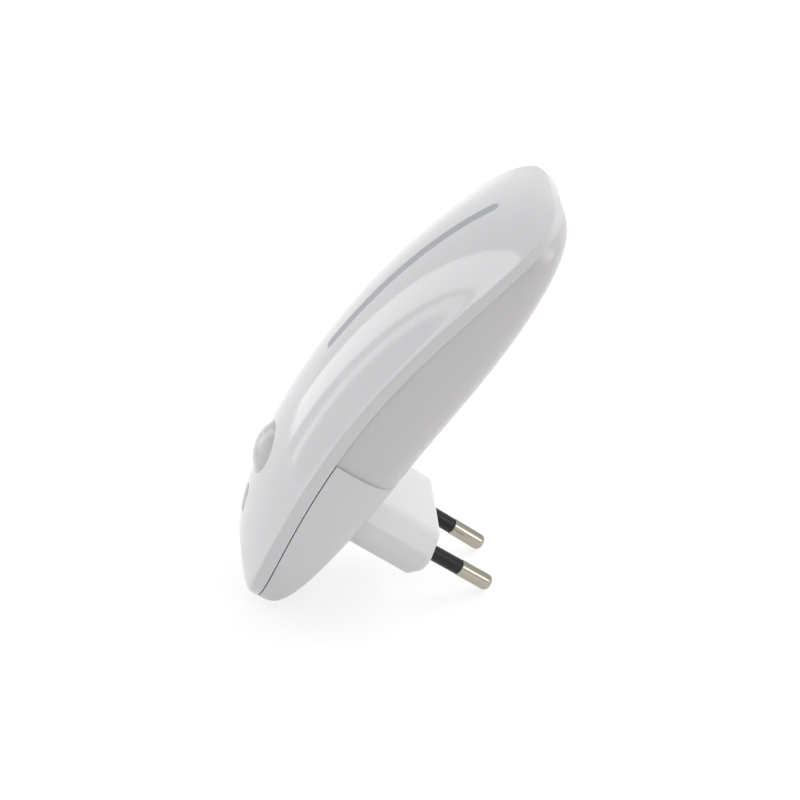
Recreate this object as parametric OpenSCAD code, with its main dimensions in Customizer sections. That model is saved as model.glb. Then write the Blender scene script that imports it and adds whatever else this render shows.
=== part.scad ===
// Plug-in night light: a long egg-shaped casing on a two-pin plug.
// Origin midway between the pins on the plug's face, +Y into the wall, +Z up, +X right.

/* [Body] */
// Length of the casing, top to bottom
body_length = 120; // [116:0.5:130]
// Width of the casing where its outline is neither widened nor narrowed
body_width = 51; // [50:0.5:58]
// How far the casing reaches below the pins
body_drop = 32.6; // [32:0.1:34]
// Distance from the plug's face back to the casing
back_depth = 17.5; // [17:0.1:18]
// Depth from the casing's back to the parting line at the middle
rear_depth = 19.3; // [19:0.1:20]
// How far the parting line bends back towards the wall at the two ends
arch_rise = 10.6; // [10:0.1:11]
// Squareness of the outline, 2 is an ellipse
outline_power = 3.5; // [3.3:0.1:4]
// Share by which the top is wider and the bottom narrower than the middle
width_taper = 0.1; // [0.07:0.01:0.12]
// Share by which both ends are fuller than the middle
width_flare = 0.06; // [0:0.01:0.08]

/* [Front cover] */
// Height of the rim band at the middle
rim_height = 2.7; // [2.4:0.1:3.2]
// Change of the rim band's height from the middle to each end
rim_taper = 0.65; // [0.4:0.05:0.8]
// How far the rim band leans in
rim_draft = 0.7; // [0.4:0.1:1]
// Height of the crown above the rim at the middle
crown_height = 7.2; // [6.9:0.1:8.5]
// Extra height of the crown towards the ends
crown_swell = 4; // [3.5:0.1:5]
// Roundness of the crown across
crown_power = 1.16; // [1:0.02:1.3]
// Roundness of the crown at its ends
crown_end_power = 0.73; // [0.65:0.01:0.78]
// Wall of the front cover
cover_wall = 1.6; // [1.4:0.1:1.8]

/* [Rear shells] */
// Height of the seam between the two rear shells
seam_height = 13.6; // [13.4:0.1:14.2]
// Squareness of the rear section, 2 is an ellipse
back_power = 3.8; // [3.5:0.1:4.2]
// Squareness of the back's profile at the ends
back_end_power = 2.95; // [2.75:0.05:3.2]
// Share by which the bottom end is squarer than the top end
back_end_skew = 0.15; // [0.05:0.01:0.2]
// How far the back bows towards the wall at the ends
back_sag = 1.26; // [0.8:0.01:1.5]
// Step in from the cover's rim to the upper diffuser
diffuser_inset = 0.8; // [0.6:0.05:0.9]
// Step in from the cover's rim to the rear housing
housing_inset = 0.15; // [0.1:0.05:0.25]
// Wall of the upper diffuser
diffuser_wall = 1.9; // [1.8:0.1:2.1]
// Wall of the rear housing
housing_wall = 2.5; // [2.4:0.1:2.6]
// Gap between the front cover and the rear shells
parting_gap = 0.3; // [0.2:0.05:0.4]
// Gap at the seam between the two rear shells
seam_gap = 0.15; // [0.1:0.05:0.3]
// Height of the lip that locates the rear shells in the cover
lip_height = 1.1; // [0.8:0.1:1.2]
// Clearance round the lip
lip_clearance = 0.2; // [0.15:0.05:0.3]
// Length of the diffuser's tongue under the rear housing
tongue_length = 2.2; // [1.8:0.1:2.4]
// Thickness of the tongue
tongue_wall = 1.2; // [1:0.1:1.4]

/* [Light slit] */
// Width of the slit
slit_width = 3; // [2.6:0.1:3.4]
// Height of the slit's lower end above the casing's middle
slit_start = 0; // [-2:0.1:3]
// Distance from the slit's upper end to the top of the casing
slit_margin = 9.8; // [9.4:0.1:12]
// Clearance of the light bar in the slit and behind the cover
slit_clearance = 0.1; // [0.05:0.05:0.15]
// Depth of the light bar's face below the cover
bar_recess = 0.2; // [0.1:0.05:0.4]
// How far the light bar's flange stands out past the slit
bar_flange = 1.8; // [1.4:0.1:2.2]
// Thickness of the light bar's flange
bar_flange_thick = 1; // [0.8:0.1:1.2]
// Gap between the light bar and the LEDs behind it
bar_led_gap = 0.3; // [0.2:0.05:0.5]

/* [Sensor lens] */
// Height of the dome's centre
lens_height = -1.75; // [-2:0.05:-1.4]
// Depth of the dome's centre behind the face of the cover
lens_depth = 5.35; // [5.25:0.05:5.5]
// Tilt of the dome's axis below the level, in degrees
lens_tilt = 5; // [4:0.5:6]
// Outer radius of the dome
lens_radius = 7.3; // [7.2:0.05:7.35]
// Radius of the dome's hole in the cover
lens_hole_r = 6.3; // [6.2:0.05:6.4]
// Bevel of the cover's face into the dome's hole
lens_bevel = 0.7; // [0.5:0.05:0.8]
// Wall of the dome
lens_wall = 0.7; // [0.5:0.05:0.9]
// How far the lens flange stands out from the dome
lens_flange = 1; // [0.8:0.1:1.1]
// Thickness of the lens flange
lens_flange_thick = 0.8; // [0.6:0.1:1]
// Radial clearance of the lens in the cover
lens_clearance = 0.25; // [0.15:0.05:0.3]
// Wall of the collar that takes the lens and its retainer
collar_wall = 1.1; // [0.9:0.1:1.2]
// Height of the lens retainer
retainer_height = 1.4; // [1.2:0.1:1.6]

/* [Light window] */
// Height of the window's centre
window_height = -16.1; // [-16.6:0.1:-16]
// Width of the window
window_width = 4; // [3.6:0.1:4.4]
// Length of the window
window_length = 7; // [6.4:0.1:7.2]
// Clearance of the window in its hole and behind the cover
window_clearance = 0.15; // [0.1:0.05:0.2]
// How far the window's flange stands out past its hole
window_flange = 0.7; // [0.5:0.1:0.8]
// Thickness of the window's flange
window_flange_thick = 0.9; // [0.7:0.1:1.1]

/* [Plug] */
// Width of the plug block over its side edges
plug_width = 35.3; // [34.6:0.1:36]
// Width of the plug block's flat faces
plug_flat = 26.1; // [25.6:0.1:26.6]
// Height of the plug block
plug_height = 13.7; // [13:0.1:14]
// Radius of the plug block's long edges
plug_corner = 4.5; // [4:0.1:5]
// Rounding of the plug block's front edge
plug_fillet = 1.8; // [1:0.1:2.2]
// Clearance of the plug block in the rear housing
plug_clearance = 0.15; // [0.1:0.05:0.25]
// Depth of the seat pad behind the casing's back
pad_depth = 4.5; // [4.3:0.1:4.8]
// Thickness of the plug block's flange
flange_thick = 2; // [1.7:0.1:2.1]
// How far the flange stands above and below the plug block
flange_margin = 2.35; // [2:0.05:2.5]
// Width of the flange
flange_width = 23; // [22:0.5:23.5]
// Spacing of the pins at the plug's face
pin_spacing = 18.6; // [18.2:0.1:19]
// Spacing of the pins at their tips
pin_tip_spacing = 17.5; // [17:0.1:18]
// Length of the pins outside the plug
pin_length = 19; // [18.5:0.1:19.5]
// Diameter of the bare part of the pins
pin_diameter = 4; // [3.94:0.02:4.06]
// Rounding of the pins' tips
pin_tip_round = 1.2; // [0.8:0.1:1.6]
// Length of the black sleeve outside the plug
sleeve_length = 10; // [9.5:0.1:11]
// Outer diameter of the sleeve
sleeve_diameter = 3.66; // [3.5:0.02:3.68]
// Diameter of the pin inside its sleeve
core_diameter = 3; // [2.8:0.1:3.2]
// Depth of the sleeve inside the plug
sleeve_depth = 6; // [4:0.5:8]
// Radial clearance of pins and sleeves where they seat
pin_fit = 0.04; // [0.02:0.01:0.06]
// Width of the relief ring round each sleeve in the plug's face
relief_width = 0.3; // [0.2:0.05:0.4]
// Depth of the relief ring
relief_depth = 0.5; // [0.3:0.1:0.8]
// Thickness of the rivet heads on the pins' tails
rivet_height = 0.6; // [0.5:0.1:0.8]
// Play of the contact strips on the pins' tails
rivet_play = 0.1; // [0.05:0.05:0.15]
// Thickness of the contact strips
contact_thick = 0.4; // [0.3:0.05:0.5]
// Width of the contact strips
contact_width = 4; // [3.6:0.1:4.6]
// Reach of the contact strips past the pin, out to their legs
contact_reach = 2.8; // [2.6:0.1:3]

/* [Boards] */
// Gap between the LED board's top corners and the inside of the cover
board_clearance = 1.95; // [1.9:0.05:2.3]
// Thickness of the boards
board_thick = 1.6; // [1.4:0.1:1.7]
// Gap between the driver board's top edge and the seam
driver_top_gap = 2.1; // [1.6:0.1:2.4]
// Distance from the driver board's bottom edge to the bottom of the casing
driver_margin = 9.6; // [9.4:0.1:10]
// Distance from the driver board's side edges to the rim at its waist
driver_side_margin = 4.9; // [4.7:0.1:5.2]
// Gap between the driver board's foot and the closing screws' posts
foot_gap = 0.6; // [0.4:0.1:0.8]
// Gap between the LED board's bottom edge and the seam
led_board_gap = 4.4; // [4:0.1:5]
// Distance from the LED board's top edge to the top of the casing
led_board_margin = 14.4; // [14.2:0.1:15.5]
// Width of the LED board
led_board_width = 24; // [23:0.5:26]
// Number of LED rows on the back of the LED board
led_rows = 4; // [2:1:5]
// Number of LEDs behind the light bar
front_led_count = 4; // [2:1:5]
// Number of wire links between the boards
link_wires = 4; // [2:1:5]
// Spacing of the wire links
link_pitch = 2; // [1.6:0.1:2.4]
// Thickness of the wire links
link_wire = 0.6; // [0.5:0.1:0.7]
// Reach of a link over each board, in wire thicknesses
link_reach = 4; // [3:0.5:5]
// Height of a link's arch behind the boards, in wire thicknesses
link_rise = 2.5; // [2:0.5:3]

/* [Components] */
// Gap between neighbouring parts on the driver board
part_gap = 0.8; // [0.6:0.1:0.9]
// Width of the film capacitor
film_width = 13; // [11:0.5:14]
// Height of the film capacitor, up the board
film_height = 11; // [9:0.5:11.5]
// Thickness of the film capacitor
film_thick = 5; // [4:0.1:5.5]
// Diameter of the reservoir capacitor
reservoir_diameter = 6.3; // [5:0.1:6.5]
// Length of the reservoir capacitor
reservoir_length = 7; // [5:0.5:7.5]
// Width of the bridge rectifier
bridge_width = 3.8; // [3.6:0.1:4]
// Height of the bridge rectifier, up the board
bridge_height = 4.7; // [4.5:0.1:4.9]
// Thickness of the bridge rectifier
bridge_thick = 2.4; // [2.2:0.1:2.6]
// Diameter of the fuse resistor
fuse_diameter = 2.5; // [2.2:0.1:2.8]
// Length of the fuse resistor's body
fuse_length = 6; // [5:0.1:6.4]
// Length of each of the fuse resistor's leads
fuse_lead = 1.2; // [1:0.1:1.4]
// Diameter of the fuse resistor's leads
fuse_wire = 0.6; // [0.5:0.1:0.7]
// Length of the control chip
chip_length = 9.9; // [8.7:0.1:10]
// Width of the control chip's body
chip_width = 3.9; // [3.8:0.1:4]
// Thickness of the control chip's body
chip_thick = 1.4; // [1.2:0.1:1.6]
// Width over the control chip's legs
chip_span = 6; // [5.8:0.1:6.2]
// Width of each of the chip's legs
leg_width = 0.4; // [0.3:0.05:0.5]
// Spacing of the chip's legs
leg_pitch = 1.27; // [1.27:0.01:1.27]
// Number of legs on each side of the chip
leg_count = 8; // [7:1:8]
// Diameter of the motion sensor's can
sensor_can = 8.2; // [8:0.1:8.6]
// Height of the motion sensor's can over its rim
sensor_can_height = 4.2; // [3.6:0.1:4.4]
// Width and thickness of the rim at the can's foot
sensor_rim = 0.5; // [0.4:0.1:0.6]
// Width of the sensor's filter window
filter_width = 4; // [3.6:0.1:4.4]
// Height of the sensor's filter window
filter_height = 3; // [2.6:0.1:3.2]
// Diameter of the light sensor
photocell_diameter = 4.8; // [4:0.1:5]
// Thickness of the light sensor
photocell_thick = 2; // [1.8:0.1:2.2]
// Length of a chip resistor
resistor_length = 2; // [1.6:0.1:3.2]
// Width of a chip resistor
resistor_width = 1.25; // [0.8:0.05:1.6]
// Thickness of a chip resistor
resistor_thick = 0.5; // [0.4:0.05:0.6]
// Spacing of the chip resistors
resistor_pitch = 3; // [2.4:0.1:3.2]
// Side of an LED
led_size = 2.8; // [2:0.1:3.5]
// Height of an LED
led_height = 0.7; // [0.5:0.1:0.9]

/* [Fasteners] */
// Distance from the closing screws' axes to the bottom of the casing
closing_rise = 17.1; // [17:0.1:17.4]
// Distance of the closing screws from the rim
closing_margin = 6.25; // [6:0.05:6.5]
// Diameter of the closing screws
closing_screw = 2.9; // [2.7:0.1:3]
// Depth of the closing screws' heads behind the casing's back
closing_sink = 5.8; // [5.6:0.1:6.2]
// Diameter of the small screws
small_screw = 2.2; // [2:0.1:2.3]
// Radial clearance of a screw in its pilot hole
screw_fit = 0.05; // [0.02:0.01:0.08]
// Radial clearance of a screw in a hole it passes
pass_fit = 0.25; // [0.15:0.05:0.3]
// Wall of the posts and bosses round the screws
post_wall = 1.3; // [1.2:0.05:1.4]
// Depth of the small screws in their bosses
board_screw_depth = 5; // [4:0.1:5.2]
// Depth of the LED board's screws in the cover's bosses
led_screw_depth = 3.8; // [3:0.1:4]
// Depth of the plug block's screws in the seat pad
lug_screw_depth = 2.6; // [2.4:0.1:2.8]
// Material left in front of the closing screws' tips
tip_cover = 1.2; // [1.1:0.1:1.6]
// Spare depth of a pilot hole past its screw
pilot_spare = 0.3; // [0.2:0.05:0.4]

/* [Hidden] */

half_l = body_length / 2;
half_w = body_width / 2;
body_mid = half_l - body_drop;
body_top = body_mid + half_l;
tiny = 0.01;
far = 60;

// Numbers of facets along and across the shells, and round the turned shapes
cover_rows = 38;
cover_columns = 20;
core_rows = 20;
core_columns = 12;
housing_rows = 12;
diffuser_rows = 17;
rear_columns = 20;
bar_steps = 26;
round_fn = 48;
small_fn = 24;
corner_fn = 32;

// Depths that several pieces share
pad_y = -(back_depth + pad_depth);
flange_back = pad_y - flange_thick;

// Ends of the slit
slit_bottom = body_mid + slit_start;
slit_top = body_top - slit_margin;

// Lean of the pins towards each other
pin_slope = (pin_spacing - pin_tip_spacing) / 2 / pin_length;
pin_angle = atan(pin_slope);
contact_x = pin_spacing / 2 - pin_slope * (flange_back - contact_thick / 2);

// Radii of the screws, of their holes and of the posts round them
closing_pilot = closing_screw / 2 + screw_fit;
closing_pass = closing_screw / 2 + pass_fit;
closing_head_r = closing_screw * 0.9;
closing_sink_r = closing_head_r + pass_fit;
closing_boss_r = closing_pilot + post_wall;
closing_post_r = closing_sink_r + post_wall * 0.8;
small_pilot = small_screw / 2 + screw_fit;
small_pass = small_screw / 2 + pass_fit;
small_head_r = small_screw * 0.9;
post_r = small_pilot + post_wall;

// ---- Outline and surfaces of the casing ----

// A power that keeps the sign of its base
function signed_power(v, p) = sign(v) * pow(abs(v), p);

// Height as a share of the half length, from -1 at the bottom to 1 at the top
function share(z, inset = 0) = (z - body_mid) / (half_l - inset);

// Height of a share of the half length
function height_of(s, inset = 0) = body_mid + (half_l - inset) * s;

// Share along the outline at an angle from 0, the bottom tip, to 180, the top tip
function row_share(angle) = -signed_power(cos(angle), 2 / outline_power);

// Angle along an inset outline at a height
function row_angle(z, inset) = acos(-signed_power(share(z, inset), outline_power / 2));

// Half width of the outline, drawn in by inset, at a share of the half length
function half_width(s, inset = 0) =
    (half_w - inset)
    * pow(max(0, 1 - pow(abs(s), outline_power)), 1 / outline_power)
    * (1 + width_taper * s + width_flare * (s * s - 1 / 3));

// Depth of the parting line between the cover and the rear shells
function parting_y(z) = -(back_depth + rear_depth) + arch_rise * pow(share(z), 2);

// Depth of the cover's crease, where the rim band meets the crown
function crease_y(z) = parting_y(z) - rim_height + rim_taper * share(z);

// Height of the crown over the crease
function crown(s, across) =
    (crown_height + crown_swell * s * s)
    * pow(max(0, 1 - s * s), crown_end_power)
    * pow(max(0, 1 - across * across), crown_power);

// Depth of the cover's face at a place on it, wall = 0 outside and cover_wall inside
function cover_y(x, z, wall = 0) =
    let (s = share(z, wall))
    crease_y(z) + wall - crown(s, x / half_width(s, rim_draft + wall));

// Slope of the cover's middle line at a height, in degrees
function cover_slope(z) =
    let (step = 0.5)
    atan((cover_y(0, z - step) - cover_y(0, z + step)) / (2 * step));

// Depth of a rear shell's back over the parting line
function rear_bulge(s, z, wall) =
    let (power = back_end_power * (1 - back_end_skew * s))
    (-back_depth + back_sag * s * s - wall - parting_y(z))
    * pow(max(0, 1 - pow(abs(s), power)), 1 / power);

// Height of the lip, which runs out towards the two ends
function lip_at(s) = lip_height * (1 - pow(s, 6));

// ---- Closed shells from rows of points ----

// Index of the first point of a row that lies where this one does
function first_same(row, j) = [for (k = [0:j]) if (norm(row[k] - row[j]) < 1e-6) k][0];

// A face without its repeated corners
function tidy_face(face) =
    [for (k = [0:len(face) - 1]) if (face[k] != face[(k + 1) % len(face)]) face[k]];

// Skins rows of points, each an outer path and an inner path of the same length.
// A row that closes to a tip needs no cap, and an open end gets one.
module shell_skin(rows, cap_first = false, cap_last = false) {
    rings = [for (row = rows)
        concat(row[0], [for (k = [len(row[1]) - 1:-1:0]) row[1][k]])];
    count = len(rings[0]);
    last = len(rings) - 1;
    // A point that lies on another of its tip, or on that of the row before, takes its place
    names = [for (i = [0:last]) [for (j = [0:count - 1])
        i > 0 && norm(rings[i][j] - rings[max(0, i - 1)][j]) < 1e-6
            ? (i - 1) * count + j
            : i * count + (i == 0 || i == last ? first_same(rings[i], j) : j)]];
    sides = [for (i = [0:last - 1]) for (j = [0:count - 1])
        let (k = (j + 1) % count)
        tidy_face([names[i][j], names[i][k], names[i + 1][k], names[i + 1][j]])];
    caps = [for (end = [cap_first ? 0 : -1, cap_last ? last : -1]) if (end >= 0)
        for (j = [0:count / 2 - 2])
            let (
                a = names[end][j], b = names[end][j + 1],
                c = names[end][count - 2 - j], d = names[end][count - 1 - j]
            )
            tidy_face(end == 0 ? [d, c, b, a] : [a, b, c, d])];
    points = [for (ring = rings) for (point = ring) point];
    faces = [for (face = concat(sides, caps)) if (len(face) > 2) face];
    polyhedron(points, faces, convexity = 6);
}

// One path across the front cover, from its right edge to its left edge
function cover_path(angle, wall, columns) =
    let (
        s = row_share(angle),
        z = height_of(s, wall),
        edge = half_width(s, wall),
        crease = half_width(s, rim_draft + wall)
    )
    concat(
        [[edge, parting_y(z), z]],
        [for (j = [0:columns])
            let (across = cos(180 * j / columns))
            [crease * across, crease_y(z) + wall - crown(s, across), z]],
        [[-edge, parting_y(z), z]]
    );

// The front cover's bare shell
module cover_shell() {
    shell_skin([for (i = [0:cover_rows])
        let (angle = 180 * i / cover_rows)
        [cover_path(angle, 0, cover_columns), cover_path(angle, cover_wall, cover_columns)]]);
}

// The room from the middle of the cover's wall back to the plug's face, which trims what
// stands on the cover's inside
module cover_core() {
    shell_skin([for (i = [0:core_rows])
        let (path = cover_path(180 * i / core_rows, cover_wall / 2, core_columns))
        [path, [for (point = path) [point.x, 0, point.z]]]]);
}

// Arc of a rear section from left to right, over an edge raised from the parting line
function rear_arc(s, inset, wall, edge) =
    let (
        z = height_of(s, inset),
        depth = max(0, rear_bulge(s, z, wall) - edge)
    )
    [for (j = [0:rear_columns])
        let (a = 180 * j / rear_columns)
        [-half_width(s, inset) * signed_power(cos(a), 2 / back_power),
         parting_y(z) + edge + depth * pow(sin(a), 2 / back_power), z]];

// Two points of a section's edge, and the same two on its other side in reverse
function edge_points(w, z, outer_y, inner_y) = [
    [[-w, outer_y, z], [-w, inner_y, z]],
    [[w, inner_y, z], [w, outer_y, z]]
];

// One row of a rear shell. insets and walls are those of its outside, its lip and its inside,
// lips the heights of the lip's two sides, and edge the height of the shell's foot.
function rear_row(shares, insets, walls, lips, edge = parting_gap) =
    let (
        lip_z = height_of(shares[1], insets[1]),
        in_z = height_of(shares[2], insets[2]),
        out_edge = edge_points(half_width(shares[1], insets[1]), lip_z,
            parting_y(lip_z) - lips[0], parting_y(lip_z) + edge),
        in_edge = edge_points(half_width(shares[2], insets[2]), in_z,
            parting_y(in_z) - lips[1], parting_y(in_z) - lips[1] / 2)
    )
    [
        concat(out_edge[0], rear_arc(shares[0], insets[0], walls[0], edge), out_edge[1]),
        concat(in_edge[0], rear_arc(shares[2], insets[2], walls[2], inner_foot), in_edge[1])
    ];

// A row of a rear shell that lies level
function level_row(z, insets, walls, lips, edge = parting_gap) =
    rear_row([for (inset = insets) share(z, inset)], insets, walls, lips, edge);

// Rows of a rear shell from the angles of one row to those of another
function rear_rows(count, from, to, insets, walls) =
    [for (i = [0:count])
        let (shares = [for (k = [0:2]) row_share(from[k] + (to[k] - from[k]) * i / count)])
        rear_row(shares, insets, walls, [lip_at(shares[1]), lip_at(shares[1])])];

// Angles of the level row at a height, for each of a shell's insets
function level_angles(z, insets) = [for (inset = insets) row_angle(z, inset)];

// Inset of the outside of the lips from the cover's edge
lip_inset = cover_wall + lip_clearance;

// Height over the parting line where the inside of a rear shell starts to round
inner_foot = 1;

housing_insets = [housing_inset, lip_inset, housing_inset + housing_wall];
housing_walls = [0, 0, housing_wall];
diffuser_insets = [diffuser_inset, lip_inset, diffuser_inset + diffuser_wall];
diffuser_walls = [0, 0, diffuser_wall];

// Insets of the tongue, inside the rear housing, and of the step that carries it
tongue_out = housing_inset + housing_wall + lip_clearance;
tongue_in = tongue_out + tongue_wall;
tongue_insets = [tongue_out, (tongue_out + tongue_in) / 2, tongue_in];
tongue_walls = [housing_wall + lip_clearance, 0, housing_wall + lip_clearance + tongue_wall];
tongue_foot = 2 * parting_gap;
step_insets = [diffuser_inset, lip_inset, tongue_in];
step_walls = [0, 0, tongue_walls[2]];
step_height = 2;
step_slope = 1.2;

// The bare shell of the upper diffuser, with the tongue that goes under the rear housing
module diffuser_shell() {
    edge = seam_height + seam_gap;
    step = edge + step_height;
    start = level_angles(step + step_slope, diffuser_insets);
    lip = lip_at(share(edge));
    tongue_lips = [lip - parting_gap, lip];
    tongue_end = seam_height - tongue_length;
    shell_skin(concat(
        [level_row(tongue_end, tongue_insets, tongue_walls, tongue_lips, tongue_foot)],
        [level_row(edge, tongue_insets, tongue_walls, tongue_lips, tongue_foot)],
        [level_row(edge, step_insets, step_walls, [lip, lip])],
        [level_row(step, step_insets, step_walls, [lip, lip])],
        rear_rows(diffuser_rows, start, [180, 180, 180], diffuser_insets, diffuser_walls)
    ), cap_first = true);
}

// The bare shell of the rear housing
module housing_shell() {
    shell_skin(
        rear_rows(housing_rows, [0, 0, 0], level_angles(seam_height, housing_insets),
            housing_insets, housing_walls),
        cap_last = true
    );
}

// The room inside the middle of the rear housing's wall, which trims its posts
module housing_core() {
    middle = housing_wall / 2;
    insets = [for (k = [0:2]) housing_inset + middle];
    angles = level_angles(seam_height, insets);
    shell_skin([for (i = [0:housing_rows])
        let (
            s = row_share(angles[0] * i / housing_rows),
            path = rear_arc(s, insets[0], middle, 0)
        )
        [path, [for (point = path) [point.x, -far, point.z]]]], cap_last = true);
}

// ---- Helpers ----

// Turns a child's +Z to -Y, out of the front
module facing_front() {
    rotate([90, 0, 0]) children();
}

// Turns a child's +Z to +Y, towards the wall
module facing_wall() {
    rotate([-90, 0, 0]) children();
}

// A flat shape in the XZ plane, made solid from depth y0 to depth y1
module plate(y0, y1) {
    translate([0, y1, 0]) facing_front() linear_extrude(y1 - y0) children();
}

// A flat shape in the YZ plane, made solid over a width centred on the middle plane
module side_plate(width) {
    translate([-width / 2, 0, 0]) rotate([90, 0, 90]) linear_extrude(width) children();
}

// A rod along Y from depth y0 to depth y1
module rod(x, z, r, y0, y1, fn = small_fn) {
    translate([x, y0, z]) facing_wall() cylinder(h = y1 - y0, r = r, $fn = fn);
}

// A block on the middle plane or beside it, by its centre in X and Z and its two depths
module block(x, z, width, height, y0, y1) {
    translate([x - width / 2, y0, z - height / 2]) cube([width, y1 - y0, height]);
}

// An upright slot shape with round ends
module slot_2d(width, z0, z1) {
    translate([-width / 2, z0 + width / 2]) square([width, z1 - z0 - width]);
    for (z = [z0 + width / 2, z1 - width / 2])
        translate([0, z]) circle(d = width, $fn = corner_fn);
}

// A flat rectangle with its middle at x, z
module rect_2d(x, z, width, height) {
    translate([x - width / 2, z - height / 2]) square([width, height]);
}

// Copies a child to the left and the right
module both_sides() {
    children();
    mirror([1, 0, 0]) children();
}

// A cross-slotted head and a shank along Y, with the head's underside at seat
module screw(x, z, shank_r, head_r, head_h, seat, tip) {
    way = sign(tip - seat);
    rod(x, z, shank_r, min(seat, tip), max(seat, tip));
    difference() {
        rod(x, z, head_r, min(seat, seat - way * head_h), max(seat, seat - way * head_h));
        for (size = [[head_r, head_r / 4], [head_r / 4, head_r]])
            block(x, z, size.x, size.y,
                min(seat - way * head_h / 2, seat - way * (head_h + tiny)),
                max(seat - way * head_h / 2, seat - way * (head_h + tiny)));
    }
}

// One of the small screws, which hold the boards and the plug block
module small_screw(x, z, seat, tip) {
    screw(x, z, small_screw / 2, small_head_r, small_head_h, seat, tip);
}

// ---- Front cover and what sits in it ----

lens_y = cover_y(0, lens_height) + lens_depth;
lens_seat = lens_depth - cover_wall * 1.5 - 2 * lens_flange_thick;
lens_flange_r = lens_radius + lens_flange;
collar_in = lens_flange_r + lens_clearance;
collar_out = collar_in + collar_wall;
retainer_end = lens_seat - lens_flange_thick - retainer_height;

// Height over the dome's centre at which the hole's edge just clears the dome
lens_pocket = sqrt(pow(lens_radius + lens_clearance / 2, 2) - pow(lens_hole_r, 2));

// Height at which the dome's axis meets the cover's face
mouth_height = lens_height - lens_depth * tan(lens_tilt);

// The dome's own axis: origin at its centre and +Z out of the front
module on_lens_axis() {
    translate([0, lens_y, lens_height]) rotate([90 + lens_tilt, 0, 0]) children();
}

// Bevel from the cover's face into the dome's hole, square to the face
module lens_mouth() {
    deep = lens_bevel + lens_clearance;
    translate([0, cover_y(0, mouth_height), mouth_height])
        rotate([90 + cover_slope(mouth_height), 0, 0]) translate([0, 0, -deep])
            cylinder(h = deep + lens_bevel, r1 = lens_hole_r - lens_clearance,
                r2 = lens_hole_r + 2 * lens_bevel, $fn = round_fn);
}

window_slope = cover_slope(window_height);

// The window's own axis: origin on the cover's face and +Z out of the front
module on_window_axis() {
    translate([0, cover_y(0, window_height), window_height])
        rotate([90 + window_slope, 0, 0]) children();
}

// Ends of the LED board, and the depths of both boards
led_board_bottom = seam_height + led_board_gap;
led_board_top = body_top - led_board_margin;
board_front = cover_y(led_board_width / 2, led_board_top, cover_wall) + board_clearance;
board_back = board_front + board_thick;

// Places of the LED board's screws
led_screw_x = led_board_width / 2 - small_head_r - part_gap;
led_screw_inset = post_r + small_head_r;
led_screw_heights = [led_board_bottom + led_screw_inset, led_board_top - led_screw_inset];

// Places of the closing screws
closing_height = closing_rise - body_drop;
closing_x = half_width(share(closing_height)) - closing_margin;
closing_y = parting_y(closing_height);
closing_seat = -(back_depth + closing_sink);
closing_tip = cover_y(closing_x, closing_height) + tip_cover;
closing_head_h = closing_screw * 0.6;
small_head_h = small_screw * 0.55;

module front_cover() {
    color("white") difference() {
        union() {
            cover_shell();
            intersection() {
                cover_core();
                union() {
                    // Collar round the dome
                    on_lens_axis() translate([0, 0, retainer_end])
                        cylinder(h = far / 2, r = collar_out, $fn = round_fn);
                    // Bosses for the LED board and for the closing screws
                    both_sides() {
                        for (z = led_screw_heights)
                            rod(led_screw_x, z, post_r, -far, board_front);
                        rod(closing_x, closing_height, closing_boss_r, -far,
                            closing_y - parting_gap / 2);
                    }
                }
            }
        }
        // Room for the lens flange and its retainer, for the dome's foot, and the dome's hole
        on_lens_axis() {
            translate([0, 0, retainer_end - tiny])
                cylinder(h = lens_seat + lens_clearance / 2 - retainer_end + tiny,
                    r = collar_in, $fn = round_fn);
            cylinder(h = lens_pocket, r = lens_radius + lens_clearance, $fn = round_fn);
            cylinder(h = far / 2, r = lens_hole_r, $fn = round_fn);
        }
        lens_mouth();
        plate(-far, board_front) slot_2d(slit_width, slit_bottom, slit_top);
        on_window_axis() translate([0, 0, -far / 10])
            linear_extrude(far / 5) slot_2d(window_width, -window_length / 2, window_length / 2);
        both_sides() {
            for (z = led_screw_heights)
                rod(led_screw_x, z, small_pilot, board_front - led_screw_depth - pilot_spare,
                    board_front + tiny);
            rod(closing_x, closing_height, closing_pilot, closing_tip - pilot_spare, closing_y);
        }
    }
}

// Depth of the light bar's back edge, just clear of the LEDs
bar_back = board_front - led_height - bar_led_gap;

// Heights at even steps from z0 to z1
function steps(z0, z1, count) = [for (i = [0:count]) z0 + (z1 - z0) * i / count];

module light_bar() {
    low = slit_bottom + slit_clearance;
    high = slit_top - slit_clearance;
    flange_width = slit_width + 2 * bar_flange;
    flange_low = slit_bottom - bar_flange;
    flange_high = slit_top + bar_flange;
    flange_curve = [for (z = steps(flange_low, flange_high, bar_steps))
        [cover_y(flange_width / 2, z, cover_wall) + slit_clearance, z]];
    color("gainsboro") union() {
        // Blade from the slit back to the LEDs
        intersection() {
            plate(-far, 0) slot_2d(slit_width - 2 * slit_clearance, low, high);
            side_plate(slit_width) polygon(concat(
                [for (z = steps(low, high, bar_steps)) [cover_y(0, z) + bar_recess, z]],
                [[bar_back, high], [bar_back, low]]
            ));
        }
        // Flange that follows the inside of the cover
        intersection() {
            plate(-far, 0) slot_2d(flange_width, flange_low, flange_high);
            side_plate(flange_width) polygon(concat(flange_curve,
                [for (k = [bar_steps:-1:0]) flange_curve[k] + [bar_flange_thick, 0]]));
        }
    }
}

module sensor_lens() {
    base = lens_seat - lens_flange_thick;
    color("lightgray") on_lens_axis() difference() {
        union() {
            sphere(r = lens_radius, $fn = round_fn);
            translate([0, 0, base])
                cylinder(h = lens_flange_thick, r = lens_flange_r, $fn = round_fn);
        }
        sphere(r = lens_radius - lens_wall, $fn = round_fn);
        translate([0, 0, base - far]) cylinder(h = far, r = far, $fn = round_fn);
    }
}

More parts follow.
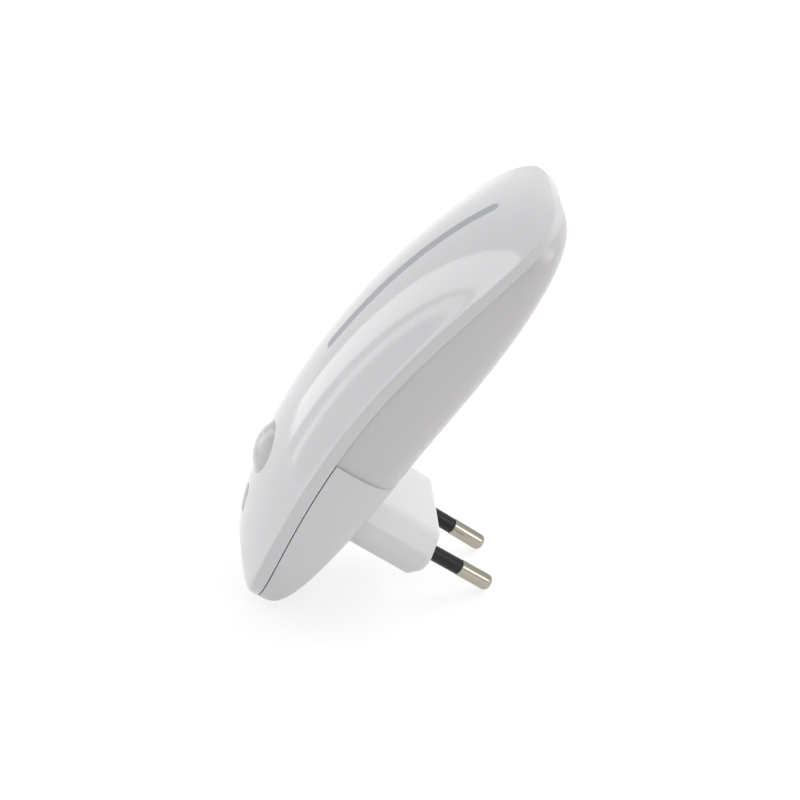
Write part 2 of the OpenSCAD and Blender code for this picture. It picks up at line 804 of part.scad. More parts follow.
module lens_retainer() {
    color("white") on_lens_axis() translate([0, 0, retainer_end]) difference() {
        cylinder(h = retainer_height, r = collar_in - pin_fit, $fn = round_fn);
        translate([0, 0, -tiny])
            cylinder(h = retainer_height + 2 * tiny, r = lens_radius - lens_wall, $fn = round_fn);
    }
}

module light_window() {
    wall = cover_wall * cos(window_slope) + window_clearance;
    half = window_length / 2;
    color("darkgray") on_window_axis() {
        translate([0, 0, -wall]) linear_extrude(wall - tiny)
            slot_2d(window_width - 2 * window_clearance, window_clearance - half,
                half - window_clearance);
        translate([0, 0, -wall - window_flange_thick]) linear_extrude(window_flange_thick)
            slot_2d(window_width + 2 * window_flange, -half - window_flange,
                half + window_flange);
    }
}

// ---- Rear shells ----

// Lugs on the plug block's flange
lug_r = small_head_r + part_gap;
lug_x = flange_width / 2 - lug_r + part_gap;
lug_z = -(plug_height / 2 + plug_clearance + post_wall + lug_r);

// Posts that carry the driver board: two at its top corners and one at its foot
driver_top = seam_height - driver_top_gap;
driver_bottom = driver_margin - body_drop;
driver_waist = closing_height + closing_post_r + foot_gap;
driver_half = half_width(share(driver_waist)) - driver_side_margin;
foot_half = closing_x - closing_post_r - foot_gap;
post_x = driver_half - post_r - part_gap / 8;
post_z = driver_top - post_r - part_gap / 2;
foot_z = driver_bottom + post_r + part_gap / 2;
post_places = [[post_x, post_z], [-post_x, post_z], [0, foot_z]];

// Section of the plug block: a hexagon with round corners, grown by extra
module plug_2d(extra = 0) {
    hull() {
        for (sx = [-1, 1]) {
            translate([sx * (plug_width / 2 - plug_corner), 0])
                circle(r = plug_corner + extra, $fn = corner_fn);
            for (sz = [-1, 1])
                translate([sx * plug_shoulder_x(), sz * (plug_height / 2 - plug_corner)])
                    circle(r = plug_corner + extra, $fn = corner_fn);
        }
    }
}

// Place of the round corner's centre that keeps the flat's sharp edge at plug_flat
function plug_shoulder_x() =
    let (turn = atan((plug_width - plug_flat) / plug_height))
    plug_flat / 2 - plug_corner * tan((90 - turn) / 2);

module upper_diffuser() {
    color("whitesmoke") diffuser_shell();
}

module rear_housing() {
    color("white") difference() {
        union() {
            housing_shell();
            intersection() {
                housing_core();
                union() {
                    // Seat pad of the plug block
                    block(0, 0, plug_width + 2 * flange_margin,
                        plug_height + 2 * (flange_margin + plug_clearance), pad_y, 0);
                    block(0, lug_z / 2, 2 * (lug_x + lug_r), 2 * lug_r - lug_z, pad_y, 0);
                    for (place = post_places)
                        rod(place.x, place.y, post_r, board_back, 0);
                    both_sides()
                        rod(closing_x, closing_height, closing_post_r,
                            closing_y + parting_gap / 2, 0);
                }
            }
        }
        plate(pad_y - tiny, far) plug_2d(plug_clearance);
        for (place = post_places)
            rod(place.x, place.y, small_pilot, board_back - tiny,
                board_back + board_screw_depth + pilot_spare);
        both_sides() {
            rod(lug_x, lug_z, small_pilot, pad_y - tiny, pad_y + lug_screw_depth + pilot_spare);
            rod(closing_x, closing_height, closing_pass, -far, 0);
            rod(closing_x, closing_height, closing_sink_r, closing_seat, 0);
        }
    }
}

// ---- Plug ----

// The axis of a pin: origin on the plug's face and +Z towards its tip, side is -1 or 1
module on_pin_axis(side) {
    translate([side * pin_spacing / 2, 0, 0])
        rotate([0, 0, side * pin_angle]) facing_wall() children();
}

// Turned front corner of the plug block
module plug_post(x, z) {
    arc_steps = 6;
    translate([x, flange_back, z]) facing_wall() rotate_extrude($fn = corner_fn) polygon(concat(
        [[0, 0], [plug_corner, 0]],
        [for (i = [0:arc_steps])
            let (a = 90 * i / arc_steps)
            [plug_corner - plug_fillet * (1 - cos(a)),
             -flange_back - plug_fillet * (1 - sin(a))]],
        [[0, -flange_back]]
    ));
}

module plug_block() {
    color("white") difference() {
        union() {
            hull() {
                for (sx = [-1, 1]) {
                    plug_post(sx * (plug_width / 2 - plug_corner), 0);
                    for (sz = [-1, 1])
                        plug_post(sx * plug_shoulder_x(), sz * (plug_height / 2 - plug_corner));
                }
            }
            plate(flange_back, pad_y) {
                rect_2d(0, 0, flange_width, plug_height + 2 * flange_margin);
                for (sx = [-1, 1]) {
                    rect_2d(sx * lug_x, lug_z / 2, 2 * lug_r, -lug_z);
                    translate([sx * lug_x, lug_z]) circle(r = lug_r, $fn = corner_fn);
                }
            }
        }
        for (side = [-1, 1]) on_pin_axis(side) {
            translate([0, 0, -far]) cylinder(h = 2 * far, r = core_diameter / 2 + pin_fit,
                $fn = small_fn);
            translate([0, 0, -sleeve_depth]) cylinder(h = far, r = sleeve_diameter / 2 + pin_fit,
                $fn = small_fn);
            translate([0, 0, -relief_depth]) cylinder(h = far,
                r = sleeve_diameter / 2 + relief_width, $fn = small_fn);
        }
        both_sides() rod(lug_x, lug_z, small_pass, flange_back - tiny, pad_y + tiny);
    }
}

// One turned pin: riveted tail, core in the sleeve, and the bare end with its round tip
module pin(side) {
    core_r = core_diameter / 2;
    bare_r = pin_diameter / 2;
    tail_z = flange_back - contact_thick - rivet_play;
    arc_steps = 8;
    color("silver") on_pin_axis(side) {
        translate([0, 0, tail_z - rivet_height])
            cylinder(h = rivet_height, r = core_r + contact_thick, $fn = small_fn);
        translate([0, 0, tail_z - tiny])
            cylinder(h = contact_thick + 3 * rivet_play, r = core_r - contact_thick,
                $fn = small_fn);
        translate([0, 0, flange_back + rivet_play])
            cylinder(h = sleeve_length - flange_back, r = core_r, $fn = small_fn);
        translate([0, 0, sleeve_length])
            cylinder(h = pin_length - pin_tip_round - sleeve_length, r = bare_r, $fn = round_fn);
        translate([0, 0, pin_length - pin_tip_round - tiny]) rotate_extrude($fn = round_fn)
            polygon(concat(
                [[0, 0]],
                [for (i = [0:arc_steps])
                    let (a = 90 * i / arc_steps)
                    [bare_r - pin_tip_round * (1 - cos(a)), pin_tip_round * sin(a) + tiny]],
                [[0, pin_tip_round + tiny]]
            ));
    }
}

module left_pin() pin(-1);

module right_pin() pin(1);

module sleeve(side) {
    color("black") on_pin_axis(side) translate([0, 0, -sleeve_depth]) difference() {
        cylinder(h = sleeve_length + sleeve_depth, r = sleeve_diameter / 2, $fn = small_fn);
        translate([0, 0, -tiny])
            cylinder(h = sleeve_length + sleeve_depth + 2 * tiny,
                r = core_diameter / 2 + pin_fit / 2, $fn = small_fn);
    }
}

module left_sleeve() sleeve(-1);

module right_sleeve() sleeve(1);

// Bent strip from a pin's tail out to the side and on to the driver board
module contact(side) {
    leg = contact_x + contact_reach;
    tab = contact_x - contact_width / 2;
    low = flange_back - contact_thick;
    color("gold") mirror([side < 0 ? 1 : 0, 0, 0]) difference() {
        translate([0, 0, -contact_width / 2]) linear_extrude(contact_width) polygon([
            [tab, flange_back], [leg, flange_back], [leg, board_back],
            [leg - contact_thick, board_back], [leg - contact_thick, low], [tab, low]
        ]);
        rod(contact_x, 0, core_diameter / 2 - contact_thick + rivet_play + pin_fit, low - tiny,
            flange_back + tiny);
    }
}

module left_contact() contact(-1);

module right_contact() contact(1);

module plug_screws() {
    color("silver") both_sides() small_screw(lug_x, lug_z, flange_back, pad_y + lug_screw_depth);
}

// ---- Driver board ----

module driver_board() {
    color("green") difference() {
        plate(board_front, board_back) {
            rect_2d(0, (driver_top + driver_waist) / 2, 2 * driver_half,
                driver_top - driver_waist);
            rect_2d(0, (driver_waist + driver_bottom) / 2, 2 * foot_half,
                driver_waist - driver_bottom + tiny);
        }
        for (place = post_places)
            rod(place.x, place.y, small_pass, board_front - tiny, board_back + tiny);
    }
}

// Places of the parts on the back of the driver board
film_z = part_gap / 2;
bridge_x = -(film_width + bridge_width) / 2 - part_gap;
bridge_z = -(contact_width + bridge_height) / 2 - part_gap;
foot_mid = foot_z + part_gap * 1.5;
reservoir_x = post_r + part_gap / 2 + reservoir_diameter / 2;
fuse_x = -(post_r + part_gap + fuse_diameter / 2);

module film_capacitor() {
    color("gold") block(0, film_z, film_width, film_height, board_back, board_back + film_thick);
}

module reservoir_capacitor() {
    radius = reservoir_diameter / 2;
    groove_depth = radius / 12;
    groove_width = radius / 5;
    color("dimgray") translate([reservoir_x, board_back + radius, foot_mid - reservoir_length / 2])
        difference() {
            cylinder(h = reservoir_length, r = radius, $fn = small_fn);
            // Crimped groove near its foot
            translate([0, 0, 2 * groove_width]) difference() {
                cylinder(h = groove_width, r = 2 * radius, $fn = small_fn);
                translate([0, 0, -tiny]) cylinder(h = groove_width + 2 * tiny,
                    r = radius - groove_depth, $fn = small_fn);
            }
        }
}

module bridge_rectifier() {
    color("black") block(bridge_x, bridge_z, bridge_width, bridge_height, board_back,
        board_back + bridge_thick);
}

module fuse_resistor() {
    body_r = fuse_diameter / 2;
    lead_r = fuse_wire / 2;
    axis_y = board_back + body_r;
    low = foot_mid - fuse_length / 2;
    color("burlywood") {
        translate([fuse_x, axis_y, low])
            cylinder(h = fuse_length, r = body_r, $fn = small_fn);
        // Axial leads and the two legs down to the board
        translate([fuse_x, axis_y, low - fuse_lead])
            cylinder(h = fuse_length + 2 * fuse_lead, r = lead_r, $fn = small_fn);
        for (z = [low - fuse_lead, low + fuse_length + fuse_lead])
            rod(fuse_x, z, lead_r, board_back, axis_y + lead_r);
    }
}

chip_z = driver_top - chip_span / 2 - part_gap;

module control_chip() {
    stand = leg_width / 4;
    color("black") block(0, chip_z, chip_length, chip_width, board_front - stand - chip_thick,
        board_front - stand);
    color("silver") for (i = [0:leg_count - 1])
        block((i - (leg_count - 1) / 2) * leg_pitch, chip_z, leg_width, chip_span,
            board_front - leg_width, board_front);
}

// Height of the motion sensor, where the dome's axis meets its window
sensor_top = board_front - sensor_can_height - sensor_rim;
sensor_z = lens_height + (sensor_top - lens_y) * tan(lens_tilt);

module motion_sensor() {
    can_r = sensor_can / 2;
    window_depth = sensor_rim / 2;
    color("silver") difference() {
        union() {
            rod(0, sensor_z, can_r + sensor_rim, board_front - sensor_rim, board_front, round_fn);
            rod(0, sensor_z, can_r, sensor_top, board_front - sensor_rim + tiny, round_fn);
        }
        // Sunk filter window
        block(0, sensor_z, filter_width, filter_height, sensor_top - tiny,
            sensor_top + window_depth);
    }
}

photocell_z = foot_z + small_head_r + part_gap / 4 + photocell_diameter / 2;

module light_sensor() {
    color("tan") rod(0, photocell_z, photocell_diameter / 2, board_front - photocell_thick,
        board_front);
}

resistor_x = sensor_can / 2 + sensor_rim + 2 * part_gap + resistor_width;
resistor_z = driver_waist + part_gap + resistor_length;

module chip_resistors() {
    color("black") both_sides() for (i = [0:2])
        block(resistor_x + i * resistor_pitch, resistor_z, resistor_width, resistor_length,
            board_front - resistor_thick, board_front);
}

module board_screws() {
    color("silver") for (place = post_places)
        small_screw(place.x, place.y, board_front, board_back + board_screw_depth);
}

// ---- LED board ----

// Heights of the lowest and the highest LEDs, clear of the board's screws and in the slit
led_clear = small_head_r + led_size;
led_span = [max(slit_bottom + led_size, led_screw_heights[0] + led_clear),
    led_screw_heights[1] - led_clear];

module led_board() {
    middle = (led_board_bottom + led_board_top) / 2;
    color("white") difference() {
        plate(board_front, board_back)
            rect_2d(0, middle, led_board_width, led_board_top - led_board_bottom);
        both_sides() for (z = led_screw_heights)
            rod(led_screw_x, z, small_pass, board_front - tiny, board_back + tiny);
    }
}

module rear_leds() {
    column_x = led_board_width / 5;
    color("lemonchiffon") both_sides()
        for (z = steps(led_span[0], led_span[1], led_rows - 1))
            block(column_x, z, led_size, led_size * 1.25, board_back, board_back + led_height);
}

module front_leds() {
    color("lemonchiffon") for (z = steps(led_span[0], led_span[1], front_led_count - 1))
        block(0, z, led_size, led_size * 1.25, board_front - led_height, board_front);
}

// Bent wires from the driver board's top edge to the LED board's bottom edge
module board_link() {
    reach = link_reach * link_wire;
    rise = board_back + link_rise * link_wire;
    low = driver_top - reach;
    high = led_board_bottom + reach;
    color("silver") for (i = [0:link_wires - 1])
        translate([(i - (link_wires - 1) / 2) * link_pitch, 0, 0])
            side_plate(link_wire) polygon([
                [board_back, low], [rise, low], [rise, high], [board_back, high],
                [board_back, high - link_wire], [rise - link_wire, high - link_wire],
                [rise - link_wire, low + link_wire], [board_back, low + link_wire]
            ]);
}

module led_board_screws() {
    color("silver") both_sides() for (z = led_screw_heights)
        small_screw(led_screw_x, z, board_back, board_front - led_screw_depth);
}

module housing_screws() {
    color("silver") both_sides()
        screw(closing_x, closing_height, closing_screw / 2, closing_head_r, closing_head_h,
            closing_seat, closing_tip);
}

front_cover();
light_bar();
sensor_lens();
lens_retainer();
light_window();
upper_diffuser();
rear_housing();
plug_block();
left_pin();
right_pin();
left_sleeve();
right_sleeve();
left_contact();
right_contact();
plug_screws();
driver_board();
film_capacitor();
reservoir_capacitor();
bridge_rectifier();
fuse_resistor();
control_chip();
motion_sensor();
light_sensor();
chip_resistors();
board_screws();
led_board();
rear_leds();
front_leds();
board_link();
led_board_screws();
housing_screws();
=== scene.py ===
"""Plug-in night light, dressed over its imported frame.

The shells, the plug, the pins and the optics are built here as fine forms from the same rules as
the construction, and the screws, LEDs, chip legs and links from trees that repeat one form.
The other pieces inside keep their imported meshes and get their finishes.
Lengths are in millimetres until a mesh is made, where MM turns them to metres.
"""

import logging
import math
from dataclasses import dataclass, field, fields
from enum import Enum
from functools import cache
from typing import Callable, Iterable, Sequence

import bpy
import numpy as np
from mathutils import Matrix, Vector


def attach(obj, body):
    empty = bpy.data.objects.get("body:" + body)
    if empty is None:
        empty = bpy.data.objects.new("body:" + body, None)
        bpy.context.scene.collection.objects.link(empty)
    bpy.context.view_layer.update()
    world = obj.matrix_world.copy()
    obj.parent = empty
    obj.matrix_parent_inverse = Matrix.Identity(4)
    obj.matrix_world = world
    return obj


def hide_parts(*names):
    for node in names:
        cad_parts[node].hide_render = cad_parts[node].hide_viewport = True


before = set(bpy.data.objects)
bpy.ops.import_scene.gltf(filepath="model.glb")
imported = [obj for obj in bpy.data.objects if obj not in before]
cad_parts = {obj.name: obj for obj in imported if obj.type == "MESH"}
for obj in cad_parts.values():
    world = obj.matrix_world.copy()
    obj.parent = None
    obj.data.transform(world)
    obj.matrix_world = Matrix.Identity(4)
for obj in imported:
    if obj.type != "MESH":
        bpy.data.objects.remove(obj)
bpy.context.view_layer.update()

MM = 0.001
ROOT = "root"
LOG = logging.getLogger("night_light")
Socket, NodeTree, Node = bpy.types.NodeSocket, bpy.types.NodeTree, bpy.types.Node
Piece, Material, Mesh = bpy.types.Object, bpy.types.Material, bpy.types.Mesh
Pair, Triple = tuple[float, float], tuple[float, float, float]
UPRIGHT = Matrix.Rotation(math.radians(90), 4, "X")
WALLWARD = Vector((0, 1, 0))


# ---- Arithmetic that holds for numbers and for node trees ----


class Term:
    """A number inside a node tree, so that a rule reads as plain arithmetic."""

    def __init__(self, tree: NodeTree, socket: Socket) -> None:
        """Wraps an output socket of a tree."""
        self.tree = tree
        self.socket = socket

    def apply(self, operation: str, *others: "Term | float") -> "Term":
        """Adds one Math node fed by this term and the others.

        Args:
            operation: The Math node's operation.
            others: The node's further inputs.

        Returns:
            The node's result.
        """
        return math_node(self.tree, operation, self, *others)

    def __add__(self, other: "Term | float") -> "Term":
        """Sum."""
        return self.apply("ADD", other)

    __radd__ = __add__

    def __sub__(self, other: "Term | float") -> "Term":
        """Difference."""
        return self.apply("SUBTRACT", other)

    def __rsub__(self, other: "Term | float") -> "Term":
        """Difference from a plain number."""
        return math_node(self.tree, "SUBTRACT", other, self)

    def __mul__(self, other: "Term | float") -> "Term":
        """Product."""
        return self.apply("MULTIPLY", other)

    __rmul__ = __mul__

    def __truediv__(self, other: "Term | float") -> "Term":
        """Quotient."""
        return self.apply("DIVIDE", other)

    def __rtruediv__(self, other: "Term | float") -> "Term":
        """Quotient of a plain number."""
        return math_node(self.tree, "DIVIDE", other, self)

    def __pow__(self, other: "Term | float") -> "Term":
        """Power."""
        return self.apply("POWER", other)

    def __rpow__(self, other: float) -> "Term":
        """Power of a plain number."""
        return math_node(self.tree, "POWER", other, self)

    def __neg__(self) -> "Term":
        """The term with its sign changed."""
        return self.apply("MULTIPLY", -1.0)

    def __abs__(self) -> "Term":
        """The term without its sign."""
        return self.apply("ABSOLUTE")


Number = Term | float


def feed(tree: NodeTree, value: object, socket: Socket) -> None:
    """Links a term or a socket to a socket, or sets a plain value on it."""
    source = value.socket if isinstance(value, Term) else value
    if isinstance(source, Socket):
        tree.links.new(source, socket)
    else:
        socket.default_value = source


def math_node(tree: NodeTree, operation: str, *values: Number) -> Term:
    """Adds a Math node.

    Args:
        tree: The tree that takes the node.
        operation: The node's operation.
        values: The node's inputs in order.

    Returns:
        The node's result.
    """
    node = tree.nodes.new("ShaderNodeMath")
    node.operation = operation
    for value, socket in zip(values, node.inputs):
        feed(tree, value, socket)
    return Term(tree, node.outputs[0])


def at_least(value: Number, low: float) -> Number:
    """The larger of a value and a limit."""
    return value.apply("MAXIMUM", low) if isinstance(value, Term) else np.maximum(value, low)


def cosine(value: Number) -> Number:
    """Cosine of an angle in radians."""
    return value.apply("COSINE") if isinstance(value, Term) else np.cos(value)


def sine(value: Number) -> Number:
    """Sine of an angle in radians."""
    return value.apply("SINE") if isinstance(value, Term) else np.sin(value)


def blend(start: Sequence[Number], end: Sequence[Number], share: Number) -> list[Number]:
    """Point that lies a share of the way from one point to another."""
    return [a + (b - a) * share for a, b in zip(start, end)]


def curve_through(
    start: Sequence[Number], corner: Sequence[Number], end: Sequence[Number], share: Number
) -> list[Number]:
    """Point on the curve that rounds a corner between two points."""
    return blend(blend(start, corner, share), blend(corner, end, share), share)


class Tree:
    """A node tree that is built by short calls."""

    def __init__(self, tree: NodeTree) -> None:
        """Takes the tree."""
        self.tree = tree

    def node(self, kind: str, own: dict[str, object] | None = None, **inputs: object) -> Node:
        """Adds a node.

        Args:
            kind: The node's type.
            own: The node's own settings, such as its operation.
            inputs: Terms, sockets or values for its inputs, by name with underscores for spaces.

        Returns:
            The node.
        """
        made = self.tree.nodes.new(kind)
        for label, value in (own or {}).items():
            setattr(made, label, value)
        for label, value in inputs.items():
            feed(self.tree, value, made.inputs[label.replace("_", " ")])
        return made


# ---- The rule of the casing ----


@dataclass(frozen=True)
class Spot:
    """A place on the casing's plan.

    Attributes:
        share: Height as a share of the half length, from -1 to 1.
        rest: What is left of 1 when that share's power is taken off.
        margin: Distance in from the outline, from 0 on it to 1 in the middle.
        x: Place across.
        z: Height.
    """

    share: Number
    rest: Number
    margin: Number
    x: Number
    z: Number


@dataclass(frozen=True)
class Casing:
    """Sizes of the egg-shaped casing, and the rules of its outline and its faces."""

    body_length: Number = 120.0
    body_width: Number = 51.0
    body_drop: Number = 32.6
    back_depth: Number = 17.5
    rear_depth: Number = 19.3
    arch_rise: Number = 10.6
    outline_power: Number = 3.5
    width_taper: Number = 0.1
    width_flare: Number = 0.06
    rim_height: Number = 2.7
    rim_taper: Number = 0.65
    rim_draft: Number = 0.7
    crown_height: Number = 7.2
    crown_swell: Number = 4.0
    crown_power: Number = 1.16
    crown_end_power: Number = 0.73
    back_power: Number = 3.8
    back_end_power: Number = 2.95
    back_end_skew: Number = 0.15
    back_sag: Number = 1.26

    @property
    def half_length(self) -> Number:
        """Half of the casing's length."""
        return self.body_length / 2

    @property
    def middle(self) -> Number:
        """Height of the casing's middle."""
        return self.half_length - self.body_drop

    def spread(self, share: Number) -> Number:
        """Widening of the outline at a share of the half length."""
        return 1 + self.width_taper * share + self.width_flare * (share * share - 1 / 3)

    def parting_y(self, z: Number) -> Number:
        """Depth of the parting line at a height."""
        share = (z - self.middle) / self.half_length
        return self.arch_rise * (share * share) - (self.back_depth + self.rear_depth)

    def crease_y(self, z: Number) -> Number:
        """Depth of the crease between the rim band and the crown at a height."""
        share = (z - self.middle) / self.half_length
        return self.parting_y(z) - self.rim_height + self.rim_taper * share

    def half_width(self, share: float, inset: float = 0.0) -> float:
        """Half width of the outline, drawn in by an inset, at a share of the half length."""
        power = self.outline_power
        rest = at_least(1 - abs(share) ** power, 0.0)
        return (self.body_width / 2 - inset) * rest ** (1 / power) * self.spread(share)

    def cover_y(self, x: float, z: float, wall: float = 0.0) -> float:
        """Depth of the cover's outer face, or of its inner face for its wall, at a place."""
        share = (z - self.middle) / (self.half_length - wall)
        across = x / self.half_width(share, self.rim_draft + wall)
        lengthwise = at_least(1 - share * share, 0.0) ** self.crown_end_power
        crosswise = at_least(1 - across * across, 0.0) ** self.crown_power
        height = self.crown_height + self.crown_swell * share * share
        return self.crease_y(z) + wall - height * lengthwise * crosswise

    def cover_slope(self, z: float) -> float:
        """Slope of the cover's middle line at a height, in radians."""
        step = 0.5
        rise = self.cover_y(0.0, z - step) - self.cover_y(0.0, z + step)
        return math.atan(rise / (2 * step))

    def spot(self, turn: Number, margin: Number, width_inset: Number, length_inset: Number) -> Spot:
        """Place on the plan in polar form, round the casing's middle.

        Args:
            turn: Angle round the middle from the top, in radians.
            margin: 0 on the outline and 1 in the middle, as the outline's power counts it.
            width_inset: How far the sides are drawn in.
            length_inset: How far the two ends are drawn in.

        Returns:
            The place.
        """
        power = self.outline_power
        along = abs(cosine(turn)) ** power
        aside = abs(sine(turn)) ** power
        whole = along + aside
        reach = ((1 - margin) / whole) ** (1 / power)
        share = cosine(turn) * reach
        rest = (aside + margin * along) / whole
        x = (self.body_width / 2 - width_inset) * (sine(turn) * reach) * self.spread(share)
        z = self.middle + (self.half_length - length_inset) * share
        return Spot(share, at_least(rest, 1e-9), margin, x, z)

    def across_rest(self, spot: Spot, power: Number) -> Number:
        """What is left of 1 when a power of the place's share of the half width is taken off."""
        return 1 - at_least(1 - spot.margin / spot.rest, 0.0) ** (power / self.outline_power)

    def along_rest(self, spot: Spot, power: Number) -> Number:
        """What is left of 1 when a power of the place's share of the half length is taken off."""
        return 1 - at_least(1 - spot.rest, 0.0) ** (power / self.outline_power)

    def crown_at(self, spot: Spot) -> Number:
        """Height of the crown over the crease at a place."""
        height = self.crown_height + self.crown_swell * (spot.share * spot.share)
        lengthwise = self.along_rest(spot, 2.0) ** self.crown_end_power
        return height * lengthwise * self.across_rest(spot, 2.0) ** self.crown_power

    def back_at(self, spot: Spot, wall: Number, edge: Number) -> Number:
        """Depth of a rear shell's face at a place, over an edge raised from the parting line."""
        parting = self.parting_y(spot.z)
        power = self.back_end_power * (1 - self.back_end_skew * spot.share)
        sag = self.back_sag * (spot.share * spot.share)
        deepest = sag - self.back_depth - wall - parting
        bulge = deepest * self.along_rest(spot, power) ** (1 / power)
        rise = self.across_rest(spot, self.back_power) ** (1 / self.back_power)
        return parting + edge + at_least(bulge - edge, 0.0) * rise


# ---- Geometry Nodes trees with named sizes ----


class SizedTree(Tree):
    """A Geometry Nodes tree with a named input for each of its sizes."""

    def __init__(self, name: str, sizes: dict[str, float]) -> None:
        """Makes the tree and its inputs.

        Args:
            name: The tree's name.
            sizes: The inputs' names and their values.
        """
        super().__init__(bpy.data.node_groups.new(name, "GeometryNodeTree"))
        self.values = dict(sizes)
        face = self.tree.interface
        face.new_socket("Geometry", in_out="INPUT", socket_type="NodeSocketGeometry")
        face.new_socket("Geometry", in_out="OUTPUT", socket_type="NodeSocketGeometry")
        self.identifiers = {
            label: face.new_socket(label, in_out="INPUT", socket_type="NodeSocketFloat").identifier
            for label in sizes
        }
        self.entry = self.node("NodeGroupInput")

    def size(self, label: str) -> Term:
        """The input of that name."""
        return Term(self.tree, self.entry.outputs[label])

    def point(self, x: Number, y: Number, z: Number) -> Socket:
        """A vector socket of three numbers."""
        return self.node("ShaderNodeCombineXYZ", X=x, Y=y, Z=z).outputs[0]

    def join(self, parts: Iterable[Socket]) -> Socket:
        """Joins several geometries."""
        joint = self.node("GeometryNodeJoinGeometry")
        for part in parts:
            self.tree.links.new(part, joint.inputs[0])
        return joint.outputs[0]

    def close(self, result: Socket, material: Material) -> None:
        """Ends the tree: turns the result to metres, makes it real and gives it its material."""
        scaled = self.node("GeometryNodeTransform", Geometry=result, Scale=(MM, MM, MM))
        real = self.node("GeometryNodeRealizeInstances", Geometry=scaled.outputs[0])
        dressed = self.node("GeometryNodeSetMaterial", Geometry=real.outputs[0], Material=material)
        self.tree.links.new(dressed.outputs[0], self.node("NodeGroupOutput").inputs[0])

    def make(self, name: str, base: Mesh | None = None) -> Piece:
        """Runs the tree and keeps its result as a plain mesh.

        Args:
            name: The new object's name.
            base: The mesh that the tree starts from, or none for a bare tree.

        Returns:
            The object.
        """
        holder = bpy.data.objects.new(name, base or bpy.data.meshes.new(name))
        bpy.context.scene.collection.objects.link(holder)
        modifier = holder.modifiers.new(self.tree.name, "NODES")
        modifier.node_group = self.tree
        for label, value in self.values.items():
            modifier[self.identifiers[label]] = value
        return settled(holder)


def settled(piece: Piece) -> Piece:
    """Turns a piece's modifiers into its own mesh."""
    bpy.context.view_layer.update()
    graph = bpy.context.evaluated_depsgraph_get()
    mesh = bpy.data.meshes.new_from_object(piece.evaluated_get(graph))
    piece.modifiers.clear()
    piece.data = mesh
    mesh.name = piece.name
    return piece


class ShellTree(SizedTree):
    """A tree that lofts a closed shell of the casing from rings round its middle."""

    TURNS = 240

    def __init__(self, name: str, casing: Casing, sizes: dict[str, float]) -> None:
        """Makes the tree with the casing's sizes and the shell's own as its inputs."""
        labels = {f.name: f.name.replace("_", " ").capitalize() for f in fields(Casing)}
        own = {label: getattr(casing, key) for key, label in labels.items()}
        super().__init__(name, own | sizes)
        self.rule = Casing(**{key: self.size(label) for key, label in labels.items()})
        self.zones: list[Socket] = []

    def zone(self, rings: int, place: Callable[[Term, Term], Sequence[Number]]) -> None:
        """Adds a zone of rings.

        Args:
            rings: Number of rings in the zone.
            place: Gives a point from a share along the zone and an angle round the middle.
        """
        grid = self.node(
            "GeometryNodeMeshGrid", Size_X=1.0, Size_Y=1.0,
            Vertices_X=rings + 1, Vertices_Y=self.TURNS + 1,
        )
        where = self.node("GeometryNodeInputPosition")
        split = self.node("ShaderNodeSeparateXYZ", Vector=where.outputs[0])
        share = Term(self.tree, split.outputs[0]) + 0.5
        turn = (Term(self.tree, split.outputs[1]) + 0.5) * math.tau
        point = self.point(*place(share, turn))
        moved = self.node("GeometryNodeSetPosition", Geometry=grid.outputs[0], Position=point)
        self.zones.append(moved.outputs[0])

    def finish(self, material: Material) -> None:
        """Joins the zones into one closed skin."""
        skin = self.join(self.zones)
        merged = self.node("GeometryNodeMergeByDistance", Geometry=skin, Distance=0.002)
        self.close(merged.outputs[0], material)


# ---- Plain solids ----


def new_piece(name: str, points: Sequence, faces: Sequence) -> Piece:
    """Makes an object from points in millimetres.

    Args:
        name: The object's name.
        points: The corners.
        faces: The faces, as lists of corner numbers.

    Returns:
        The object, at the origin.
    """
    mesh = bpy.data.meshes.new(name)
    scaled = np.asarray(points, float) * MM
    mesh.from_pydata(scaled.tolist(), [], [list(face) for face in faces])
    mesh.validate()
    piece = bpy.data.objects.new(name, mesh)
    bpy.context.scene.collection.objects.link(piece)
    return piece


def loft(name: str, rings: Sequence[np.ndarray]) -> Piece:
    """Skins a stack of rings with the same number of points, and caps its two ends.

    Args:
        name: The object's name.
        rings: The rings, each anticlockwise seen from the end of the stack.

    Returns:
        The object.
    """
    count = len(rings[0])
    top = (len(rings) - 1) * count
    faces = []
    for low in range(0, top, count):
        for j in range(count):
            k = (j + 1) % count
            faces.append((low + j, low + k, low + count + k, low + count + j))
    faces += [tuple(range(count - 1, -1, -1)), tuple(range(top, top + count))]
    return new_piece(name, np.concatenate(rings), faces)


def lathe(name: str, profile: Sequence[Pair], place: Matrix, steps: int = 96) -> Piece:
    """Turns a profile of radius and height about the +Z axis of a place.

    Args:
        name: The object's name.
        profile: Points of radius and height, up the outside, that start and end on the axis or
            close to a ring.
        place: Where the axis lies.
        steps: Number of steps round.

    Returns:
        The object.
    """
    closed = profile[0][0] > 0
    angles = np.linspace(0, math.tau, steps, endpoint=False)
    points: list[Vector] = []
    rings: list[list[int]] = []
    for radius, height in profile:
        if radius <= 0:
            rings.append([len(points)] * steps)
            points.append(place @ Vector((0, 0, height)))
            continue
        rings.append(list(range(len(points), len(points) + steps)))
        points += [
            place @ Vector((radius * math.cos(a), radius * math.sin(a), height)) for a in angles
        ]
    faces = []
    for low, high in zip(rings, rings[1:] + rings[:1] if closed else rings[1:]):
        for j in range(steps):
            k = (j + 1) % steps
            corners = [low[j], low[k], high[k], high[j]]
            faces.append([c for n, c in enumerate(corners) if c not in corners[:n]])
    return new_piece(name, [tuple(p) for p in points], faces)


def arc(centre: Pair, radius: float, start: float, end: float, steps: int) -> list[Pair]:
    """Points of an arc, with its angles in degrees."""
    angles = np.radians(np.linspace(start, end, steps + 1))
    return [(centre[0] + radius * math.cos(a), centre[1] + radius * math.sin(a)) for a in angles]


